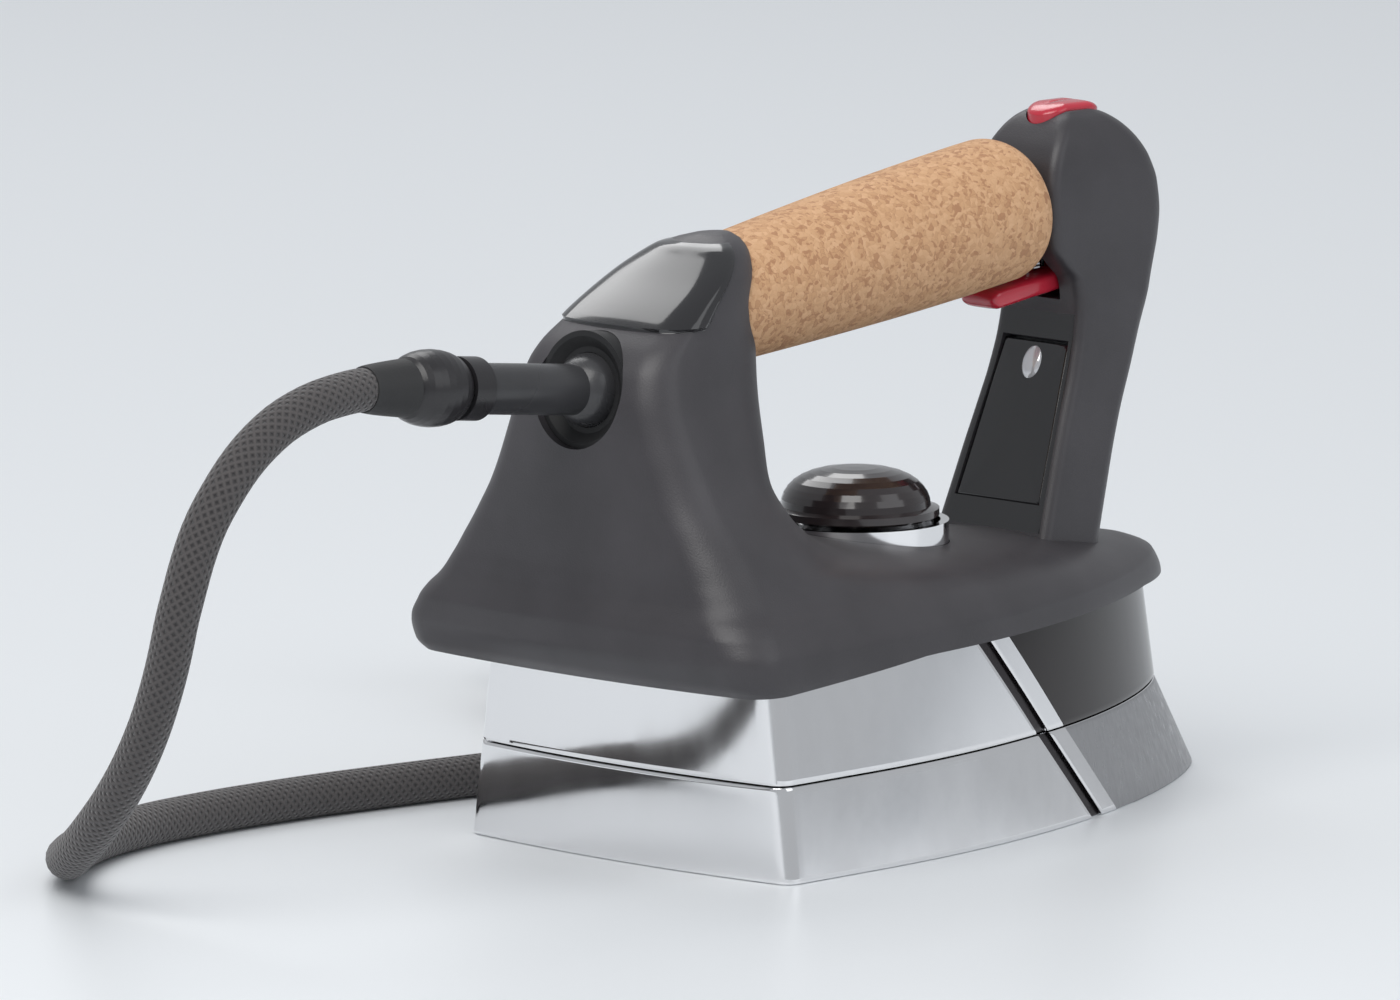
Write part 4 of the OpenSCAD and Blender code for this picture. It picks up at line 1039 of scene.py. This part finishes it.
# %% Small parts
def loop(u, v, power, n=72):
    """Super-ellipse: (u * sgn(c)|c|^(2/p), v * sgn(s)|s|^(2/p)) for each row of u and v."""
    a = np.arange(n) * 2 * np.pi / n
    c, s = np.cos(a), np.sin(a)
    u, v = (np.asarray(k, float).reshape(-1, 1) for k in (u, v))
    return (u * np.sign(c) * np.abs(c) ** (2 / power), v * np.sign(s) * np.abs(s) ** (2 / power))


cover_n = 24
edge_t = np.linspace(0, 1, cover_n, endpoint=False)[:, None]
corners = COVER * (1 - 0.2 / 15)
sides = np.concatenate([
    corners[k] + edge_t * (corners[(k + 1) % 4] - corners[k]) for k in range(4)
])
centre = sides.mean(0)
shrink = np.array([1, 1, 0.99, 0.965, 0.93])[:, None, None]
cover_ring = centre + (sides - centre) * shrink
depth = np.array([2.0, 0.75, 0.45, 0.25, 0.2])[:, None] * MM
skin("pillar_cover_gloss", on_pillar(depth, cover_ring[..., 0], cover_ring[..., 1]), gloss,
     "root", ("pillar_cover",))

rise = np.radians(np.linspace(0, 88, 16))
lens_y, lens_z = loop(3.4 * np.cos(rise), 4.7 * np.cos(rise), 2.0, 48)
lens_x = (0.9 - 1.9 * np.sin(rise))[:, None]
skin("lamp_lens", on_pillar(lens_x * MM, lens_y * MM, (LENS_UP + lens_z) * MM), glass, "root",
     ("indicator_lens",))

trigger_s = np.array([100.25, 100.5, 101, 101.8, 103, 105, 110, 116, 122, 127, 131, 134, 136.5,
                      138, 138.4])
trigger_h = np.array([0.3, 1.0, 1.75, 2.4, 2.8, 2.8, 2.8, 2.8, 2.9, 3.3, 4.1, 4.5, 3.7, 2.0, 0.5])
trigger_b = np.array([4.6, 5.4, 6.0, 6.4, 6.5, 6.5, 6.5, 6.5, 6.5, 6.5, 6.5, 6.5, 6.4, 6.0, 5.0])
trigger_c = np.array([-21.8] * 9 + [-21.3, -20.5] + [-20] * 4)
even = np.linspace(0, 1, 60)
grid_s = through(even, np.linspace(0, 1, 15), trigger_s)
half_h, half_b, mid = (through(grid_s, trigger_s, v) for v in (trigger_h, trigger_b, trigger_c))
across, up = loop(half_b, half_h, 4.0)
skin("trigger_red", on_handle(grid_s[:, None] * MM, across * MM, (mid[:, None] + up) * MM), red,
     "trigger_body", ("trigger",))

ease = np.radians(np.linspace(0, 88, 12))
button_out = stadium(21, 12, 36)
skeleton = button_out * np.array([4.5 / 10.5, 0])
shrinking = np.concatenate([np.ones(8), 1 - 0.30 * (1 - np.cos(ease)), [0.5, 0.3, 0.12]])
button_z = np.concatenate([np.linspace(-7, -1.6, 8), -1.6 + 1.5 * np.sin(ease), [0, 0, 0]])
button_xy = skeleton + (button_out - skeleton) * shrinking[:, None, None]
crown = button_xy[..., 0] ** 2 / 52
button_rings = np.concatenate([
    button_xy + [BUTTON_X, 0],
    (BUTTON_TOP + button_z[:, None] - crown * smooth((button_z[:, None] + 5) / 5))[..., None],
], -1)
skin("steam_button_red", button_rings * MM, red, "button_body", ("steam_button",))

# %% [markdown]
# ## The room
# A pale floor that runs far back, a pale sky that the chrome can mirror, and two large soft
# lamps: one above and behind the camera's left, and a weaker one low on the right.

# %% Floor and light
floor_mesh = bpy.data.meshes.new("floor")
size = 9.0
floor_mesh.from_pydata([(-size, -size, 0), (size, -size, 0), (size, size, 0), (-size, size, 0)],
                       [], [(0, 1, 2, 3)])
floor_finish = finish("pale_floor", (0.80, 0.825, 0.85), 0.35)
floor_mesh.materials.append(floor_finish)
floor = bpy.data.objects.new("floor", floor_mesh)
bpy.context.scene.collection.objects.link(floor)


def softbox(name, bearing, height, distance, size, power, tint=(1, 1, 1)):
    """Square lamp that looks at the iron from a bearing and a height angle in degrees."""
    data = bpy.data.lights.new(name, "AREA")
    data.shape, data.size, data.energy, data.color = "SQUARE", size, power, tint
    lamp = bpy.data.objects.new(name, data)
    bpy.context.scene.collection.objects.link(lamp)
    b, h = math.radians(bearing), math.radians(height)
    away = np.array([math.cos(h) * math.cos(b), math.cos(h) * math.sin(b), math.sin(h)])
    lamp.location = LOOK_AT + distance * away
    lamp.rotation_euler = (math.pi / 2 - h, 0, b + math.pi / 2)


softbox("key", 200, 52, 2.2, 1.6, 30, (1.0, 0.99, 0.97))
softbox("fill", 285, 30, 2.6, 2.0, 12, (0.96, 0.98, 1.0))
softbox("rim", 60, 48, 2.4, 1.4, 15)
world = bpy.data.worlds.new("pale_room")
bpy.context.scene.world = world
world.use_nodes = True
world.node_tree.nodes["Background"].inputs["Color"].default_value = (0.90, 0.93, 0.97, 1)
world.node_tree.nodes["Background"].inputs["Strength"].default_value = 0.50
bpy.context.scene.view_settings.view_transform = "Standard"
